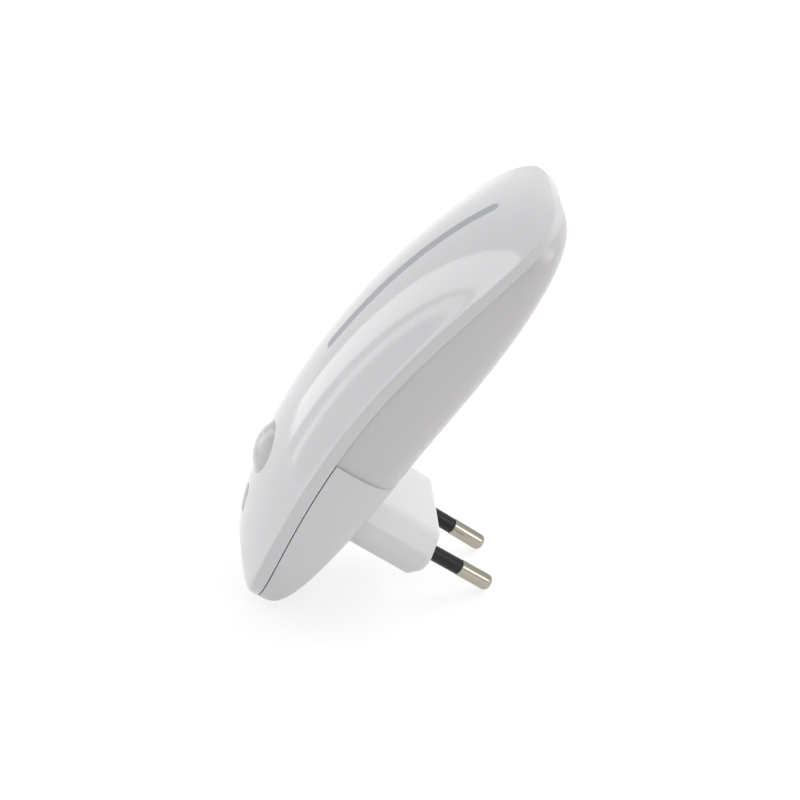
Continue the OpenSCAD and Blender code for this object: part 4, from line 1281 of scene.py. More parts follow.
@dataclass(frozen=True)
class RearShells:
    """The opal diffuser above the seam and the opaque housing below it."""

    casing: Casing = field(default_factory=Casing)
    fasteners: Fasteners = field(default_factory=Fasteners)
    seam_height: float = 13.6
    seam_gap: float = 0.02
    parting_gap: float = 0.25
    lip_inset: float = 1.8
    lip_height: float = 1.1
    diffuser_inset: float = 0.8
    diffuser_wall: float = 1.9
    housing_inset: float = 0.15
    housing_wall: float = 2.5
    seat_y: float = -22.0
    pad: Pair = (20.0, 9.35)
    lug_pad: Triple = (12.3, -13.86, 2.78)
    core_end: float = -45.0
    back_rings: int = 84

    def shell(self, name: str, inset: float, wall: float, hollow: bool) -> Piece:
        """Lofts one whole rear shell, still uncut at the seam.

        Args:
            name: The object's name.
            inset: How far it steps in from the rim.
            wall: Its wall.
            hollow: Whether it is a shell, or a solid that fills it from the middle of its wall
                and goes on straight forward.

        Returns:
            The shell or the solid.
        """
        sizes = {
            "Inset": inset, "Wall": wall, "Parting gap": self.parting_gap,
            "Lip inset": self.lip_inset, "Lip height": self.lip_height,
        }
        loom = ShellTree(f"{name}_rings", self.casing, sizes)
        rule = loom.rule
        outer, depth, gap, lip, rise = (loom.size(label) for label in sizes)

        def on_back(share: Number, turn: Term, draw: Number, thick: Number) -> list[Number]:
            """Point of the back, share 0 in the middle and 1 at the edge."""
            margin = 1 - share**rule.outline_power
            spot = rule.spot(turn, margin, draw, draw)
            return [spot.x, rule.back_at(spot, thick, gap), spot.z]

        def on_edge(turn: Term, draw: Number, over: Number) -> list[Number]:
            """Point over the parting line, drawn in from the rim and raised from the line."""
            spot = rule.spot(turn, 0.0, draw, draw)
            return [spot.x, rule.parting_y(spot.z) + over, spot.z]

        def straight_on(share: Number, turn: Term, level: Number) -> list[Number]:
            """Point before the edge, level 0 at the edge and 1 at the core's end."""
            spot = rule.spot(turn, 1 - share**rule.outline_power, middle, middle)
            edge = rule.parting_y(spot.z) + gap
            return [spot.x, edge + (self.core_end - edge) * level, spot.z]

        def eased(share: Term) -> Number:
            """Share that crowds the rings towards the edge."""
            return 1 - (1 - share) ** 2.6

        middle = outer + depth / 2
        if hollow:
            loom.zone(self.back_rings, lambda t, a: on_back(eased(t), a, outer, 0.0))
            loom.zone(1, lambda t, a: on_edge(a, outer + (lip - outer) * t, gap))
            loom.zone(2, lambda t, a: on_edge(a, lip, gap - (gap + rise) * t))
            inner = outer + depth
            loom.zone(1, lambda t, a: on_edge(a, lip + (inner - lip) * t, -rise))
            loom.zone(2, lambda t, a: on_edge(a, inner, (gap + rise) * t - rise))
            loom.zone(40, lambda t, a: on_back(eased(1 - t), a, inner, depth))
        else:
            loom.zone(24, lambda t, a: on_back(eased(t), a, middle, depth / 2))
            loom.zone(1, lambda t, a: straight_on(1.0, a, t))
            loom.zone(4, lambda t, a: straight_on(at_least(1 - t, 0.0), a, 1.0))
        loom.finish(HOUSING_FINISH.material())
        return loom.make(name)

    def pads(self) -> Piece:
        """Makes the plug's seat and the posts, trimmed to the housing's inside."""
        held = self.fasteners
        across, tall = self.pad
        lug_across, lug_low, lug_high = self.lug_pad
        bodies = [
            slab("seat", (-reach, reach), (self.seat_y, 0), rise)
            for reach, rise in ((across, (-tall, tall)), (lug_across, (lug_low, lug_high)))
        ]
        bodies += rods("post", held.board_posts, held.post_r, held.board_back, 0)
        end = held.closing_y + held.closing_gap
        bodies += rods("post", held.closing, held.closing_post_r, end, 0)
        solid = bodies[0]
        for body in bodies[1:]:
            carve(solid, Cut.ADD, [body])
        core = self.shell("housing_core", self.housing_inset, self.housing_wall, hollow=False)
        carve(solid, Cut.KEEP, [core])
        return solid

    def halves(self, plug: "Plug") -> tuple[Piece, Piece]:
        """Makes both shells and parts them at the seam.

        Args:
            plug: The plug, whose outline is opened in the housing.

        Returns:
            The diffuser and the housing.
        """
        held = self.fasteners
        upper = self.shell("opal_back", self.diffuser_inset, self.diffuser_wall, hollow=True)
        lower = self.shell("housing_back", self.housing_inset, self.housing_wall, hollow=True)
        reach = (-80.0, 80.0)
        half_gap = self.seam_gap / 2
        above = slab("above", reach, reach, (self.seam_height + half_gap, 160.0))
        below = slab("below", reach, reach, (-160.0, self.seam_height - half_gap))
        carve(upper, Cut.KEEP, [above])
        carve(lower, Cut.KEEP, [below])
        carve(lower, Cut.ADD, [self.pads()])
        rings = [plug.ring(plug.clearance, y) for y in (self.seat_y - 0.01, 5.0)]
        tools = [loft("plug_hole", rings)]
        for places, start, depth in (
            (held.board_posts, held.board_back, held.board_pilot),
            (held.lugs, self.seat_y, held.lug_pilot),
        ):
            tools += rods("pilot", places, held.small_pilot, start - 0.01, start + depth)
        sink, narrow = held.closing_sink, held.closing_pass
        profile = [(0, -50), (narrow, -50), (narrow, held.closing_seat)]
        profile += [(sink, held.closing_seat), (sink, 5), (0, 5)]
        axes = [axis_at((x, 0, z), WALLWARD) for x, z in held.closing]
        tools += [lathe("sink", profile, axis, 64) for axis in axes]
        carve(lower, Cut.REMOVE, [joined("housing_tools", tools)])
        return finished(upper, DIFFUSER_FINISH), finished(lower, HOUSING_FINISH)


@dataclass(frozen=True)
class Plug:
    """The plug block, its pins and their sleeves."""

    fasteners: Fasteners = field(default_factory=Fasteners)
    width: float = 35.3
    flat: float = 26.1
    height: float = 13.7
    corner: float = 4.5
    fillet: float = 1.8
    clearance: float = 0.15
    seat_y: float = -22.0
    flange_back: float = -24.0
    flange_margin: float = 2.35
    flange_width: float = 23.0
    lug_r: float = 2.78
    pin_spacing: float = 18.6
    tip_spacing: float = 17.5
    pin_length: float = 19.0
    pin_diameter: float = 4.0
    tip_round: float = 1.2
    core_diameter: float = 3.0
    sleeve_length: float = 10.0
    sleeve_depth: float = 6.0
    sleeve_diameter: float = 3.74
    relief_width: float = 0.3
    relief_depth: float = 0.5

    @property
    def shoulder_x(self) -> float:
        """Place of the round corners' centres that keeps the flat's sharp edge at its width."""
        turn = math.atan((self.width - self.flat) / self.height)
        return self.flat / 2 - self.corner * math.tan((math.pi / 2 - turn) / 2)

    def outline(self, grown: float, steps: int = 14) -> list[Pair]:
        """Hexagon with round corners, grown or shrunk, anticlockwise."""
        radius = self.corner + grown
        turn = math.degrees(math.atan((self.width - self.flat) / self.height))
        tall, side = self.height / 2 - self.corner, self.width / 2 - self.corner
        shoulder = self.shoulder_x
        corners = (
            (side, 0, -turn, turn), (shoulder, tall, turn, 90), (-shoulder, tall, 90, 180 - turn),
            (-side, 0, 180 - turn, 180 + turn), (-shoulder, -tall, 180 + turn, 270),
            (shoulder, -tall, 270, 360 - turn),
        )
        return [p for x, z, a, b in corners for p in arc((x, z), radius, a, b, steps)]

    def ring(self, grown: float, y: float) -> np.ndarray:
        """The outline at a depth, anticlockwise seen from the wall."""
        return np.array([(-x, y, z) for x, z in self.outline(grown)])

    def pin_axis(self, side: int) -> Matrix:
        """Place of a pin's axis, with its origin on the plug's face."""
        lean = (self.pin_spacing - self.tip_spacing) / 2 / self.pin_length
        return axis_at((side * self.pin_spacing / 2, 0, 0), Vector((-side * lean, 1, 0)))

    def block(self) -> Piece:
        """Makes the plug block with its flange, its lugs and the pins' holes."""
        held = self.fasteners
        angles = np.radians(np.linspace(0, 90, 11))
        front = [
            self.ring(-self.fillet * (1 - math.cos(a)), -self.fillet * (1 - math.sin(a)))
            for a in angles
        ]
        body = loft("hexagon_block", [self.ring(0, self.flange_back), *front])
        half, tall = self.flange_width / 2, self.height / 2 + self.flange_margin
        radius = self.lug_r
        lugs = [
            prism(
                "lug", arc((x, z), radius, 180, 360, 24) + [(x + radius, 0), (x - radius, 0)],
                UPRIGHT, -self.seat_y, -self.flange_back,
            )
            for x, z in held.lugs
        ]
        depth = (self.flange_back + 0.01, self.seat_y)
        carve(body, Cut.ADD, [slab("flange", (-half, half), depth, (-tall, tall))])
        carve(body, Cut.ADD, [joined("lugs", lugs)])
        core, bore = self.core_diameter / 2 + 0.04, self.sleeve_diameter / 2 + 0.02
        relief = self.sleeve_diameter / 2 + self.relief_width
        profile = [
            (0, -40), (core, -40), (core, -self.sleeve_depth), (bore, -self.sleeve_depth),
            (bore, -self.relief_depth), (relief, -self.relief_depth), (relief, 5), (0, 5),
        ]
        tools = [lathe("bore", profile, self.pin_axis(side), 64) for side in (-1, 1)]
        start, end = self.flange_back - 1, self.seat_y + 0.01
        tools += rods("pass", held.lugs, held.small_pass, start, end)
        carve(body, Cut.REMOVE, [joined("plug_tools", tools)])
        return finished(body, PLUG_FINISH)

    def pin(self, name: str, side: int) -> Piece:
        """Turns one pin: riveted tail, core and the bare end with its round tip."""
        radius, core = self.pin_diameter / 2, self.core_diameter / 2
        tail, tip, chamfer = self.flange_back, self.pin_length, 0.12
        profile = [(0, tail - 1.1), (core + 0.25, tail - 1.1), (core + 0.4, tail - 0.95)]
        profile += [(core + 0.4, tail - 0.5), (core - 0.4, tail - 0.5)]
        profile += [(core - 0.4, tail + 0.1), (core, tail + 0.1), (core, self.sleeve_length)]
        profile += [(radius - chamfer, self.sleeve_length), (radius, self.sleeve_length + chamfer)]
        straight = np.linspace(self.sleeve_length + 0.5, tip - self.tip_round, 8)
        profile += [(radius, float(h)) for h in straight[:-1]]
        round_end = (radius - self.tip_round, tip - self.tip_round)
        profile += arc(round_end, self.tip_round, 0, 90, 16) + [(0, tip)]
        piece = lathe(name, profile, self.pin_axis(side))
        return finished(piece, NICKEL_FINISH)

    def sleeve(self, name: str, side: int) -> Piece:
        """Turns one insulating sleeve."""
        radius, bore, chamfer = self.sleeve_diameter / 2, self.core_diameter / 2 + 0.02, 0.1
        low, high = -self.sleeve_depth, self.sleeve_length
        profile = [
            (bore, low), (radius, low), (radius, high - chamfer), (radius - chamfer, high),
            (bore, high),
        ]
        piece = lathe(name, profile, self.pin_axis(side))
        return finished(piece, SLEEVE_FINISH)


@dataclass(frozen=True)
class Optics:
    """The dome, the window and the light bar, which show in the cover."""

    cover: FrontCover = field(default_factory=FrontCover)
    dome_radius: float = 7.3
    dome_wall: float = 0.7
    skirt_gap: float = 0.01
    skirt_drop: float = 0.03
    crown_rise: float = 2.1
    crown_power: float = 2.5
    flange: float = 1.0
    flange_thick: float = 0.8
    fine_gap: float = 0.02
    bar_gap: float = 0.1
    bar_recess: float = 0.03
    window_flange: float = 0.7
    window_flange_thick: float = 0.9
    window_seat: float = 0.15
    bar_flange: float = 1.8
    bar_flange_thick: float = 1.0
    bar_back: float = -33.51

    def facets(self) -> Piece:
        """Grows the faceted ball that hollows the dome."""
        loom = SizedTree("lens_facets", {"Radius": self.dome_radius - self.dome_wall})
        grown = loom.node("GeometryNodeMeshIcoSphere", Subdivisions=3, Radius=loom.size("Radius"))
        loom.close(grown.outputs[0], LENS_FINISH.material())
        ball = loom.make("facet_ball")
        ball.data.transform(in_metres(self.cover.lens_axis))
        return ball

    def dome(self) -> Piece:
        """Makes the milky dome with its skirt, its flange and the lens facets inside."""
        radius = self.dome_radius
        seat = self.cover.lens_depth - self.cover.wall * 1.5 - 2 * self.flange_thick
        base = seat - self.flange_thick
        rim = radius + self.flange
        round_r = self.cover.hole_r - self.skirt_gap
        start = math.degrees(math.asin(seat / radius))
        end = math.degrees(math.acos(round_r / radius))
        foot = arc((0, 0), radius, start, end, 12)
        profile = [(0, base), (rim, base), (rim, seat), *foot, (0, foot[-1][1])]
        piece = lathe("milky_dome", profile, self.cover.lens_axis, self.cover.hole_steps)
        crown = [self.cover.ring(round_r, base), self.cover.face_ring(round_r, -self.skirt_drop)]
        for turn in np.linspace(0.03, 1, 32):
            share = math.cos(turn * math.pi / 2) + 0.003
            bulge = self.crown_rise * (1 - share**self.crown_power)
            over = bulge - self.skirt_drop * share**2
            crown.append(self.cover.face_ring(round_r * share, over))
        carve(piece, Cut.ADD, [loft("crown", crown)])
        carve(piece, Cut.REMOVE, [self.facets()])
        return finished(piece, LENS_FINISH, 6.0)

    def window(self) -> Piece:
        """Makes the flush window with its flange."""
        cover = self.cover
        half, gap, flange = cover.window_length / 2, self.fine_gap, self.window_flange
        slope = cover.casing.cover_slope(cover.window_height)
        depth = cover.wall * math.cos(slope) + self.window_seat
        face = slot_outline(cover.window_width - 2 * gap, gap - half, half - gap)
        wide = slot_outline(cover.window_width + 2 * flange, -half - flange, half + flange)
        body = prism("oval_window", face, cover.window_axis, -depth - 0.1, -0.01)
        low = -depth - self.window_flange_thick
        foot = prism("window_flange", wide, cover.window_axis, low, -depth)
        carve(body, Cut.ADD, [foot])
        return finished(body, WINDOW_FINISH)

    def slab_along(
        self, name: str, half: float, low: float, high: float, face: Callable, back: Callable
    ) -> Piece:
        """Lofts a round-ended bar whose front and back follow a rule of the height.

        Args:
            name: The object's name.
            half: Half of its width.
            low: Height of its lower end.
            high: Height of its upper end.
            face: Depth of its front at a height.
            back: Depth of its back at a height.

        Returns:
            The bar.
        """
        ends = half * (1 - np.cos(np.linspace(0, math.pi / 2, 17)))
        middle = np.linspace(low + half, high - half, 90)[1:-1]
        rows = []
        for z in np.concatenate([low + ends, middle, high - ends[::-1]]):
            short = half - min(z - low, high - z, half)
            wide = max(math.sqrt(max(half**2 - short**2, 0.0)), 0.03)
            front, rear = face(z), back(z)
            rows.append(
                np.array([(-wide, front, z), (wide, front, z), (wide, rear, z), (-wide, rear, z)])
            )
        return loft(name, rows)

    def bar(self) -> Piece:
        """Makes the light bar: a blade in the slit and a flange behind the cover."""
        cover, casing = self.cover, self.cover.casing
        gap = self.fine_gap
        blade = self.slab_along(
            "light_guide", cover.slit_width / 2 - gap, cover.slit_low + gap, cover.slit_high - gap,
            lambda z: casing.cover_y(0.0, z) + self.bar_recess, lambda z: self.bar_back,
        )
        half = cover.slit_width / 2 + self.bar_flange

        def behind(z: float) -> float:
            """Depth of the flange's front, just behind the cover."""
            return casing.cover_y(half, z, cover.wall) + self.bar_gap

        flange = self.slab_along(
            "guide_flange", half, cover.slit_low - self.bar_flange,
            cover.slit_high + self.bar_flange, behind, lambda z: behind(z) + self.bar_flange_thick,
        )
        carve(blade, Cut.ADD, [flange])
        return finished(blade, BAR_FINISH)


# ---- What repeats ----


class PartTree(SizedTree):
    """A tree that builds one small part and sets it on every point it is given."""

    def cube(self, size: Sequence[Number], centre: Sequence[Number] = (0.0, 0.0, 0.0)) -> Socket:
        """A block of a size round a centre."""
        block = self.node("GeometryNodeMeshCube", Size=self.point(*size))
        return self.moved(block.outputs[0], centre)

    def cone(self, radii: Sequence[Number], rise: Sequence[Number], steps: int = 32) -> Socket:
        """A round solid along +Z from one radius and height to another."""
        solid = self.node(
            "GeometryNodeMeshCone", Vertices=steps, Radius_Bottom=radii[0], Radius_Top=radii[1],
            Depth=rise[1] - rise[0],
        )
        return self.moved(solid.outputs[0], (0.0, 0.0, rise[0]))

    def moved(self, solid: Socket, place: Sequence[Number], turn: Sequence[Number] = ()) -> Socket:
        """A solid shifted to a place, and turned first by angles in radians."""
        extra = {"Rotation": self.point(*turn)} if turn else {}
        where = self.point(*place)
        step = self.node("GeometryNodeTransform", Geometry=solid, Translation=where, **extra)
        return step.outputs[0]

    def tube(self, path: Node, radius: Number, steps: int) -> Socket:
        """A closed round solid along a curve."""
        ring = self.node("GeometryNodeCurvePrimitiveCircle", Resolution=steps, Radius=radius)
        return self.node(
            "GeometryNodeCurveToMesh", Curve=path.outputs[0], Profile_Curve=ring.outputs[0],
            Fill_Caps=True,
        ).outputs[0]

    def less(self, solid: Socket, tools: Sequence[Socket]) -> Socket:
        """A solid with others taken off."""
        way = {"operation": "DIFFERENCE", "solver": "EXACT"}
        cut = self.node("GeometryNodeMeshBoolean", way, Mesh_1=solid)
        for tool in tools:
            self.tree.links.new(tool, cut.inputs["Mesh 2"])
        return cut.outputs[0]

    def marked(self, solid: Socket, name: str) -> Socket:
        """A solid that carries a mark for its finish."""
        way = {"data_type": "FLOAT", "domain": "POINT"}
        store = self.node("GeometryNodeStoreNamedAttribute", way, Geometry=solid, Name=name)
        next(s for s in store.inputs if s.name == "Value" and s.enabled).default_value = 1.0
        return store.outputs[0]

    def row(self, solid: Socket, count: int, pitch: Number) -> Socket:
        """A solid repeated across, evenly to both sides of the middle."""
        line = self.node(
            "GeometryNodeMeshLine", Count=count, Offset=self.point(pitch, 0.0, 0.0),
            Start_Location=self.point(pitch * (-(count - 1) / 2), 0.0, 0.0),
        )
        return self.on_points(line.outputs[0], solid)

    def on_points(self, points: Socket, solid: Socket) -> Socket:
        """A solid set on every point."""
        return self.node("GeometryNodeInstanceOnPoints", Points=points, Instance=solid).outputs[0]

    def spread(self, solid: Socket, material: Material, turn: Number) -> None:
        """Ends the tree: tips the part about the X axis and sets it on the points that came in."""
        tipped = self.moved(solid, (0.0, 0.0, 0.0), (turn, 0.0, 0.0))
        self.close(self.on_points(self.entry.outputs[0], tipped), material)


def at_points(places: Iterable[Pair], depth: float) -> Mesh:
    """Bare points at places across and up, all at one depth, for a tree to work on."""
    mesh = bpy.data.meshes.new("points")
    mesh.from_pydata([(x, depth, z) for x, z in places], [], [])
    return mesh


class Facing(Enum):
    """Which way a part's own +Z looks, as its turn about the X axis."""

    WALL = -math.pi / 2
    FRONT = math.pi / 2


@dataclass(frozen=True)
class Screws:
    """All cross-slotted screws, turned from one tree with its own sizes for each set."""

    fasteners: Fasteners = field(default_factory=Fasteners)

    def tree(self) -> PartTree:
        """Builds the tree: a head with a cross slot, a core with its tip, and a thread."""
        sizes = dict.fromkeys(("Shank radius", "Head radius", "Head height", "Length", "Turn"), 1.0)
        loom = PartTree("cross_screw", sizes)
        shank, head_r, head_h, length, turn = (loom.size(label) for label in sizes)
        head = loom.cone((head_r, head_r * 0.9), (0.0, head_h), 40)
        blades = [
            loom.cube(size, (0.0, 0.0, head_h))
            for size in ((head_r, head_r / 4, head_h), (head_r / 4, head_r, head_h))
        ]
        core = shank * 0.8
        tip = shank * 1.2
        body = loom.cone((core, core), (tip - length, head_h * 0.2), 24)
        point = loom.moved(
            loom.cone((core, core * 0.35), (0.0, tip), 24),
            (0.0, 0.0, tip - length), (math.pi, 0.0, 0.0),
        )
        helix = loom.node(
            "GeometryNodeCurveSpiral", Resolution=20, Rotations=(length - tip) / (shank * 0.75),
            Start_Radius=core, End_Radius=core, Height=length - tip * 1.4,
        )
        wound = loom.moved(loom.tube(helix, shank * 0.19, 3), (0.0, 0.0, tip - length))
        whole = loom.join([loom.less(head, blades), body, point, wound])
        loom.spread(whole, SCREW_FINISH.material(), turn)
        return loom

    def build(self) -> None:
        """Makes the four sets and registers them."""
        held = self.fasteners
        loom = self.tree()
        small = (held.small_r, held.small_head_r, held.small_head_h)
        large = (held.closing_r, held.closing_head_r, held.closing_head_h)
        sets = (
            ("plug", held.lugs, held.lug_seat, held.lug_tip, small),
            ("board", held.board_posts, held.board_front, held.board_tip, small),
            ("led_board", held.led_posts, held.board_back, held.led_tip, small),
            ("housing", held.closing, held.closing_seat, held.closing_tip, large),
        )
        for word, places, seat, tip, (shank, head_r, head_h) in sets:
            facing = Facing.FRONT if tip > seat else Facing.WALL
            loom.values.update({
                "Shank radius": shank, "Head radius": head_r, "Head height": head_h,
                "Length": abs(tip - seat), "Turn": facing.value,
            })
            piece = loom.make(f"{word}_cross_screws", at_points(places, seat))
            register(smooth(piece), f"{word}_screws")


@dataclass(frozen=True)
class Electronics:
    """The small parts that repeat on the boards, and the links between the boards."""

    fasteners: Fasteners = field(default_factory=Fasteners)
    led_size: float = 2.8
    led_height: float = 0.7
    led_x: float = 4.8
    led_heights: tuple[float, ...] = (30.2, 41.397, 52.593, 63.79)
    resistor: Triple = (1.25, 2.0, 0.5)
    resistor_x: float = 7.45
    resistor_pitch: float = 3.0
    resistor_z: float = -8.2
    chip_z: float = 7.7
    chip: Triple = (9.9, 3.9, 1.4)
    chip_span: float = 6.0
    leg_width: float = 0.4
    leg_pitch: float = 1.27
    link_pitch: float = 2.0
    link_wire: float = 0.6
    link_low: float = 9.1
    link_high: float = 20.4
    link_rise: float = 1.5
    link_bend: float = 0.8

    def leds(self) -> None:
        """Sets the LEDs on both faces of the LED board."""
        loom = PartTree("led", {"Size": self.led_size, "Height": self.led_height, "Turn": 0.0})
        size, height = loom.size("Size"), loom.size("Height")
        body = loom.cube((size, size * 1.25, height), (0.0, 0.0, height / 2))
        dish = loom.cone((size * 0.36, size * 0.42), (height * 0.6, height * 1.2))
        fill = loom.cone((size * 0.35, size * 0.39), (height * 0.55, height * 0.88))
        whole = loom.join([loom.less(body, [dish]), loom.marked(fill, "phosphor")])
        loom.spread(whole, LED_FINISH.material(), loom.size("Turn"))
        held = self.fasteners
        pairs = [(x, z) for z in self.led_heights for x in (-self.led_x, self.led_x)]
        single = [(0.0, z) for z in self.led_heights]
        for node, places, depth, facing in (
            ("rear_leds", pairs, held.board_back, Facing.WALL),
            ("front_leds", single, held.board_front, Facing.FRONT),
        ):
            loom.values["Turn"] = facing.value
            piece = loom.make(node.replace("leds", "led_row"), at_points(places, depth))
            register(smooth(piece), node)

    def resistors(self) -> None:
        """Sets the chip resistors on the front of the driver board."""
        width, length, thick = self.resistor
        loom = PartTree("chip_resistor", {"Width": width, "Length": length, "Thickness": thick})
        wide, long, high = (loom.size(k) for k in ("Width", "Length", "Thickness"))
        core = loom.cube((wide * 0.96, long * 0.7, high * 0.94), (0.0, 0.0, high * 0.47))
        caps = [
            loom.cube((wide, long * 0.2, high), (0.0, long * 0.4 * side, high / 2))
            for side in (-1, 1)
        ]
        whole = loom.join([core, *(loom.marked(cap, "tinned") for cap in caps)])
        loom.spread(whole, CHIP_FINISH.material(), Facing.FRONT.value)
        places = [
            (side * (self.resistor_x + k * self.resistor_pitch), self.resistor_z)
            for side in (-1, 1)
            for k in range(3)
        ]
        piece = loom.make("resistor_row", at_points(places, self.fasteners.board_front))
        register(smooth(piece), "chip_resistors")

    def control_chip(self) -> None:
        """Makes the controller: its package with a dot and two rows of bent legs."""
        length, width, thick = self.chip
        sizes = {
            "Length": length, "Width": width, "Thickness": thick, "Span": self.chip_span,
            "Leg width": self.leg_width, "Leg pitch": self.leg_pitch,
        }
        loom = PartTree("legged_chip", sizes)
        long, wide, high, span, leg, pitch = (loom.size(label) for label in sizes)
        foot = leg * 0.4
        stand = leg / 4
        package = loom.cube((long, wide, high), (0.0, 0.0, high / 2 + stand))
        dot = loom.cone((0.4, 0.4), (high, high * 2))
        dimple = loom.moved(dot, (long * -0.42, wide * -0.3, 0.05))
        inner, outer = wide / 2, span / 2
        reach = outer - inner
        middle = high / 2 + stand
        shoulder = loom.cube((leg, reach * 0.6, foot), (0.0, inner + reach * 0.25, middle))
        riser = loom.cube((leg, foot, middle), (0.0, inner + reach * 0.5, middle / 2 + foot / 4))
        tread = loom.cube((leg, reach * 0.5, foot), (0.0, outer - reach * 0.25, foot / 2))
        legs = loom.row(loom.join([shoulder, riser, tread]), 8, pitch)
        other = loom.moved(legs, (0.0, 0.0, 0.0), (0.0, 0.0, math.pi))
        real = loom.node("GeometryNodeRealizeInstances", Geometry=loom.join([legs, other]))
        whole = loom.join([loom.less(package, [dimple]), loom.marked(real.outputs[0], "tinned")])
        loom.spread(whole, CHIP_FINISH.material(), Facing.FRONT.value)
        place = at_points([(0.0, self.chip_z)], self.fasteners.board_front)
        register(smooth(loom.make("controller", place)), "control_chip")

    def links(self) -> None:
        """Bends the wire links between the two boards."""
        radius = self.link_wire / 2
        sizes = {"Wire radius": radius, "Pitch": self.link_pitch, "Bend": self.link_bend}
        loom = PartTree("wire_link", sizes)
        path = loom.node("GeometryNodeMeshToCurve", Mesh=loom.entry.outputs[0])
        bend = loom.node(
            "GeometryNodeFilletCurve", {"mode": "POLY"}, Curve=path.outputs[0], Count=8,
            Radius=loom.size("Bend"),
        )
        wire = loom.tube(bend, loom.size("Wire radius"), 14)
        loom.close(loom.row(wire, 4, loom.size("Pitch")), WIRE_FINISH.material())
        back = self.fasteners.board_back
        top = back + self.link_rise - radius
        low, high = self.link_low + radius, self.link_high - radius
        mesh = bpy.data.meshes.new("link_path")
        mesh.from_pydata(
            [(0, back, low), (0, top, low), (0, top, high), (0, back, high)],
            [(0, 1), (1, 2), (2, 3)], [],
        )
        register(smooth(loom.make("wire_links", mesh)), "board_link")


# ---- The room ----


class Rays(Enum):
    """Which rays see a lamp: all, only those that scatter, or only those that mirrors send on."""

    ALL = (True, True)
    SCATTERED = (True, False)
    MIRRORED = (False, True)


@dataclass(frozen=True)
class Panel:
    """A softbox or a grey card, placed by its direction as the camera's level view turns.

    Attributes:
        name: Its name.
        azimuth: Degrees round the floor's upright, 0 towards the camera and 90 to its right.
        elevation: Degrees over the floor's level.
        distance: From the piece's middle, in millimetres.
        size: Width and height, in millimetres.
        glow: Brightness, where 1 is white.
        roll: Degrees that its upper end leans to the right, seen from the piece.
        rays: The rays that see it, where it is a lamp.
    """

    name: str
    azimuth: float
    elevation: float
    distance: float
    size: Pair
    glow: float
    roll: float = 0.0
    rays: Rays = Rays.ALL


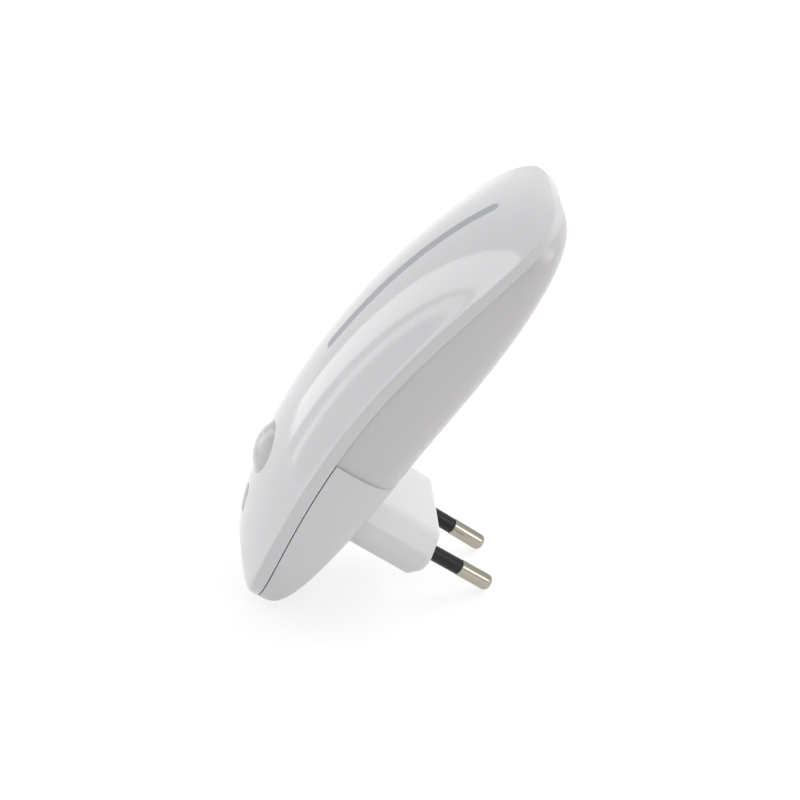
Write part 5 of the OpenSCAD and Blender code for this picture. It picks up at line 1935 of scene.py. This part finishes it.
@dataclass(frozen=True)
class Room:
    """Floor, lamps, cards, background and camera."""

    floor_lean: float = 35.98
    floor_point: Triple = (0.0, 18.0, 0.0)
    floor_gap: float = 2.0
    floor_reach: float = 3000.0
    target: Triple = (0.0, -40.0, 30.0)
    camera_right: Triple = (0.0746, 0.8070, 0.5859)
    camera_up: Triple = (-0.4936, -0.4806, 0.7248)
    camera_distance: float = 598.35
    camera_offset: Pair = (5.156, -30.137)
    focal_length: float = 113.3
    sensor: float = 36.0
    floor_tone: float = 0.86
    floor_dim: float = 0.6
    view_glow: float = 0.75
    world_glow: float = 0.78
    softboxes: tuple[Panel, ...] = (
        Panel("left_softbox", -123.5, 22, 900, (235, 860), 1.75, 3.0),
        Panel("left_strip", -109.5, 19, 900, (55, 727), 1.4),
        Panel("right_strip", 62, 22, 690, (200, 220), 2.9, rays=Rays.MIRRORED),
        Panel("right_fill", 62, 22, 700, (220, 240), 1.9, rays=Rays.SCATTERED),
        Panel("back_fill", 125, 28, 620, (470, 400), 3.75, rays=Rays.SCATTERED),
        Panel("left_fill", -110, 5, 950, (600, 500), 1.7, rays=Rays.SCATTERED),
    )
    cards: tuple[Panel, ...] = (
        Panel("near_card", 35, 8, 700, (370, 620), 0.82),
        Panel("far_card", 122, 8, 700, (900, 620), 0.7),
    )

    @property
    def up(self) -> Vector:
        """Direction straight up from the floor, in the part's frame."""
        lean = math.radians(self.floor_lean)
        return Vector((0, -math.sin(lean), math.cos(lean)))

    @property
    def right(self) -> Vector:
        """Direction to the camera's right."""
        return Vector(self.camera_right).normalized()

    def place(self, panel: Panel) -> Matrix:
        """Where a panel stands, with its +Z away from the piece, in millimetres."""
        toward = self.right.cross(self.up).normalized()
        around, rise = math.radians(panel.azimuth), math.radians(panel.elevation)
        level = toward * math.cos(around) + self.right * math.sin(around)
        back = level * math.cos(rise) + self.up * math.sin(rise)
        across = self.up.cross(back).normalized()
        turn = Matrix((across, back.cross(across), back)).transposed().to_4x4()
        turn @= Matrix.Rotation(math.radians(-panel.roll), 4, "Z")
        return Matrix.Translation(Vector(self.target) + back * panel.distance) @ turn

    def camera(self) -> None:
        """Makes the camera and sets it."""
        right, up = self.right, Vector(self.camera_up)
        up = (up - right * up.dot(right)).normalized()
        back = right.cross(up)
        across, rise = self.camera_offset
        eye = back * self.camera_distance - right * across - up * rise
        data = bpy.data.cameras.new("camera")
        data.lens = self.focal_length
        data.sensor_width = self.sensor
        data.clip_end = 20.0
        camera = bpy.data.objects.new("camera", data)
        turn = Matrix((right, up, back)).transposed().to_4x4()
        camera.matrix_world = in_metres(Matrix.Translation(eye) @ turn)
        bpy.context.scene.collection.objects.link(camera)
        bpy.context.scene.camera = camera

    def floor(self) -> None:
        """Makes the floor under the lying lamp."""
        centre = Vector(self.floor_point) - self.up * self.floor_gap
        side = Vector((1, 0, 0)) * self.floor_reach
        ahead = self.up.cross(side)
        corners = [
            tuple(centre + side * a + ahead * b) for a, b in ((-1, -1), (1, -1), (1, 1), (-1, 1))
        ]
        floor = new_piece("floor", corners, [(0, 1, 2, 3)])
        dress(floor, self.floor_material())

    def seen(self, tree: NodeTree) -> Term:
        """1 for rays from the camera and for those that mirrors and glass send on."""
        path = tree.nodes.new("ShaderNodeLightPath")
        kinds = ("Camera", "Glossy", "Transmission")
        first, *others = (Term(tree, path.outputs[f"Is {kind} Ray"]) for kind in kinds)
        return sum(others, first).apply("MINIMUM", 1.0)

    def floor_material(self) -> Material:
        """White floor that keeps a faint shadow and vanishes from below."""
        made = ShaderTree("floor_white")
        seen = self.seen(made.tree)
        made.set(
            Roughness=0.6, Base_Color=self.floor_tone - seen * self.floor_dim,
            Emission_Color=(1, 1, 1, 1), Emission_Strength=seen * self.view_glow,
        )
        clear = made.node("ShaderNodeBsdfTransparent")
        under = made.node("ShaderNodeNewGeometry").outputs["Backfacing"]
        mix = made.node("ShaderNodeMixShader", Fac=under)
        out = next(n for n in made.tree.nodes if n.type == "OUTPUT_MATERIAL")
        for source, socket in (
            (made.shader, mix.inputs[1]), (clear, mix.inputs[2]), (mix, out.inputs["Surface"])
        ):
            made.tree.links.new(source.outputs[0], socket)
        return made.material

    def world(self) -> None:
        """White background, and a softer even light from all round."""
        world = bpy.data.worlds.new("studio")
        bpy.context.scene.world = world
        world.use_nodes = True
        tree = world.node_tree
        back = next(n for n in tree.nodes if n.type == "BACKGROUND")
        back.inputs["Color"].default_value = (1, 1, 1, 1)
        seen = self.seen(tree)
        strength = seen + (1 - seen) * self.world_glow
        tree.links.new(strength.socket, back.inputs["Strength"])

    def lamps(self) -> None:
        """Adds the softboxes."""
        for panel in self.softboxes:
            data = bpy.data.lights.new(panel.name, "AREA")
            data.shape = "RECTANGLE"
            data.size, data.size_y = (side * MM for side in panel.size)
            data.energy = panel.glow * math.pi * data.size * data.size_y
            lamp = bpy.data.objects.new(panel.name, data)
            lamp.visible_diffuse, lamp.visible_glossy = panel.rays.value
            lamp.matrix_world = in_metres(self.place(panel))
            bpy.context.scene.collection.objects.link(lamp)

    def grey_cards(self) -> None:
        """Adds the cards that the pins mirror."""
        for panel in self.cards:
            wide, tall = panel.size
            place = self.place(panel)
            points = [
                tuple(place @ Vector((wide * a, tall * b, 0)))
                for a, b in ((-0.5, -0.5), (0.5, -0.5), (0.5, 0.5), (-0.5, 0.5))
            ]
            card = new_piece(panel.name, points, [(3, 2, 1, 0)])
            made = ShaderTree(panel.name)
            made.set(
                Base_Color=(0, 0, 0, 1), Roughness=1.0, Specular_IOR_Level=0.0,
                Emission_Color=(1, 1, 1, 1), Emission_Strength=panel.glow,
            )
            dress(card, made.material)


def dress_packed(nodes: dict[str, Piece]) -> None:
    """Gives every node that keeps its packed form its finish."""
    for name, finish in PACKED_FINISHES.items():
        dress(nodes[name], finish.material())
        LOG.info("%s keeps its packed form", name)


def main() -> None:
    """Builds the room and the night light in order."""
    logging.basicConfig(level=logging.INFO, format="%(message)s")
    bpy.context.scene.view_settings.view_transform = "Standard"
    room = Room()
    for part in (room.camera, room.floor, room.grey_cards, room.world, room.lamps):
        part()
    cover = FrontCover()
    register(cover.build(), "front_cover")
    plug = Plug()
    upper, lower = RearShells().halves(plug)
    register(upper, "upper_diffuser")
    register(lower, "rear_housing")
    register(plug.block(), "plug_block")
    for side, word in ((-1, "left"), (1, "right")):
        register(plug.pin(f"{word}_plug_pin", side), f"{word}_pin")
        register(plug.sleeve(f"{word}_pin_sleeve", side), f"{word}_sleeve")
    optics = Optics(cover)
    register(optics.dome(), "sensor_lens")
    register(optics.window(), "light_window")
    register(optics.bar(), "light_bar")
    Screws().build()
    parts = Electronics()
    for build in (parts.leds, parts.resistors, parts.control_chip, parts.links):
        build()
    dress_packed(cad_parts)


if __name__ == "__main__":
    main()
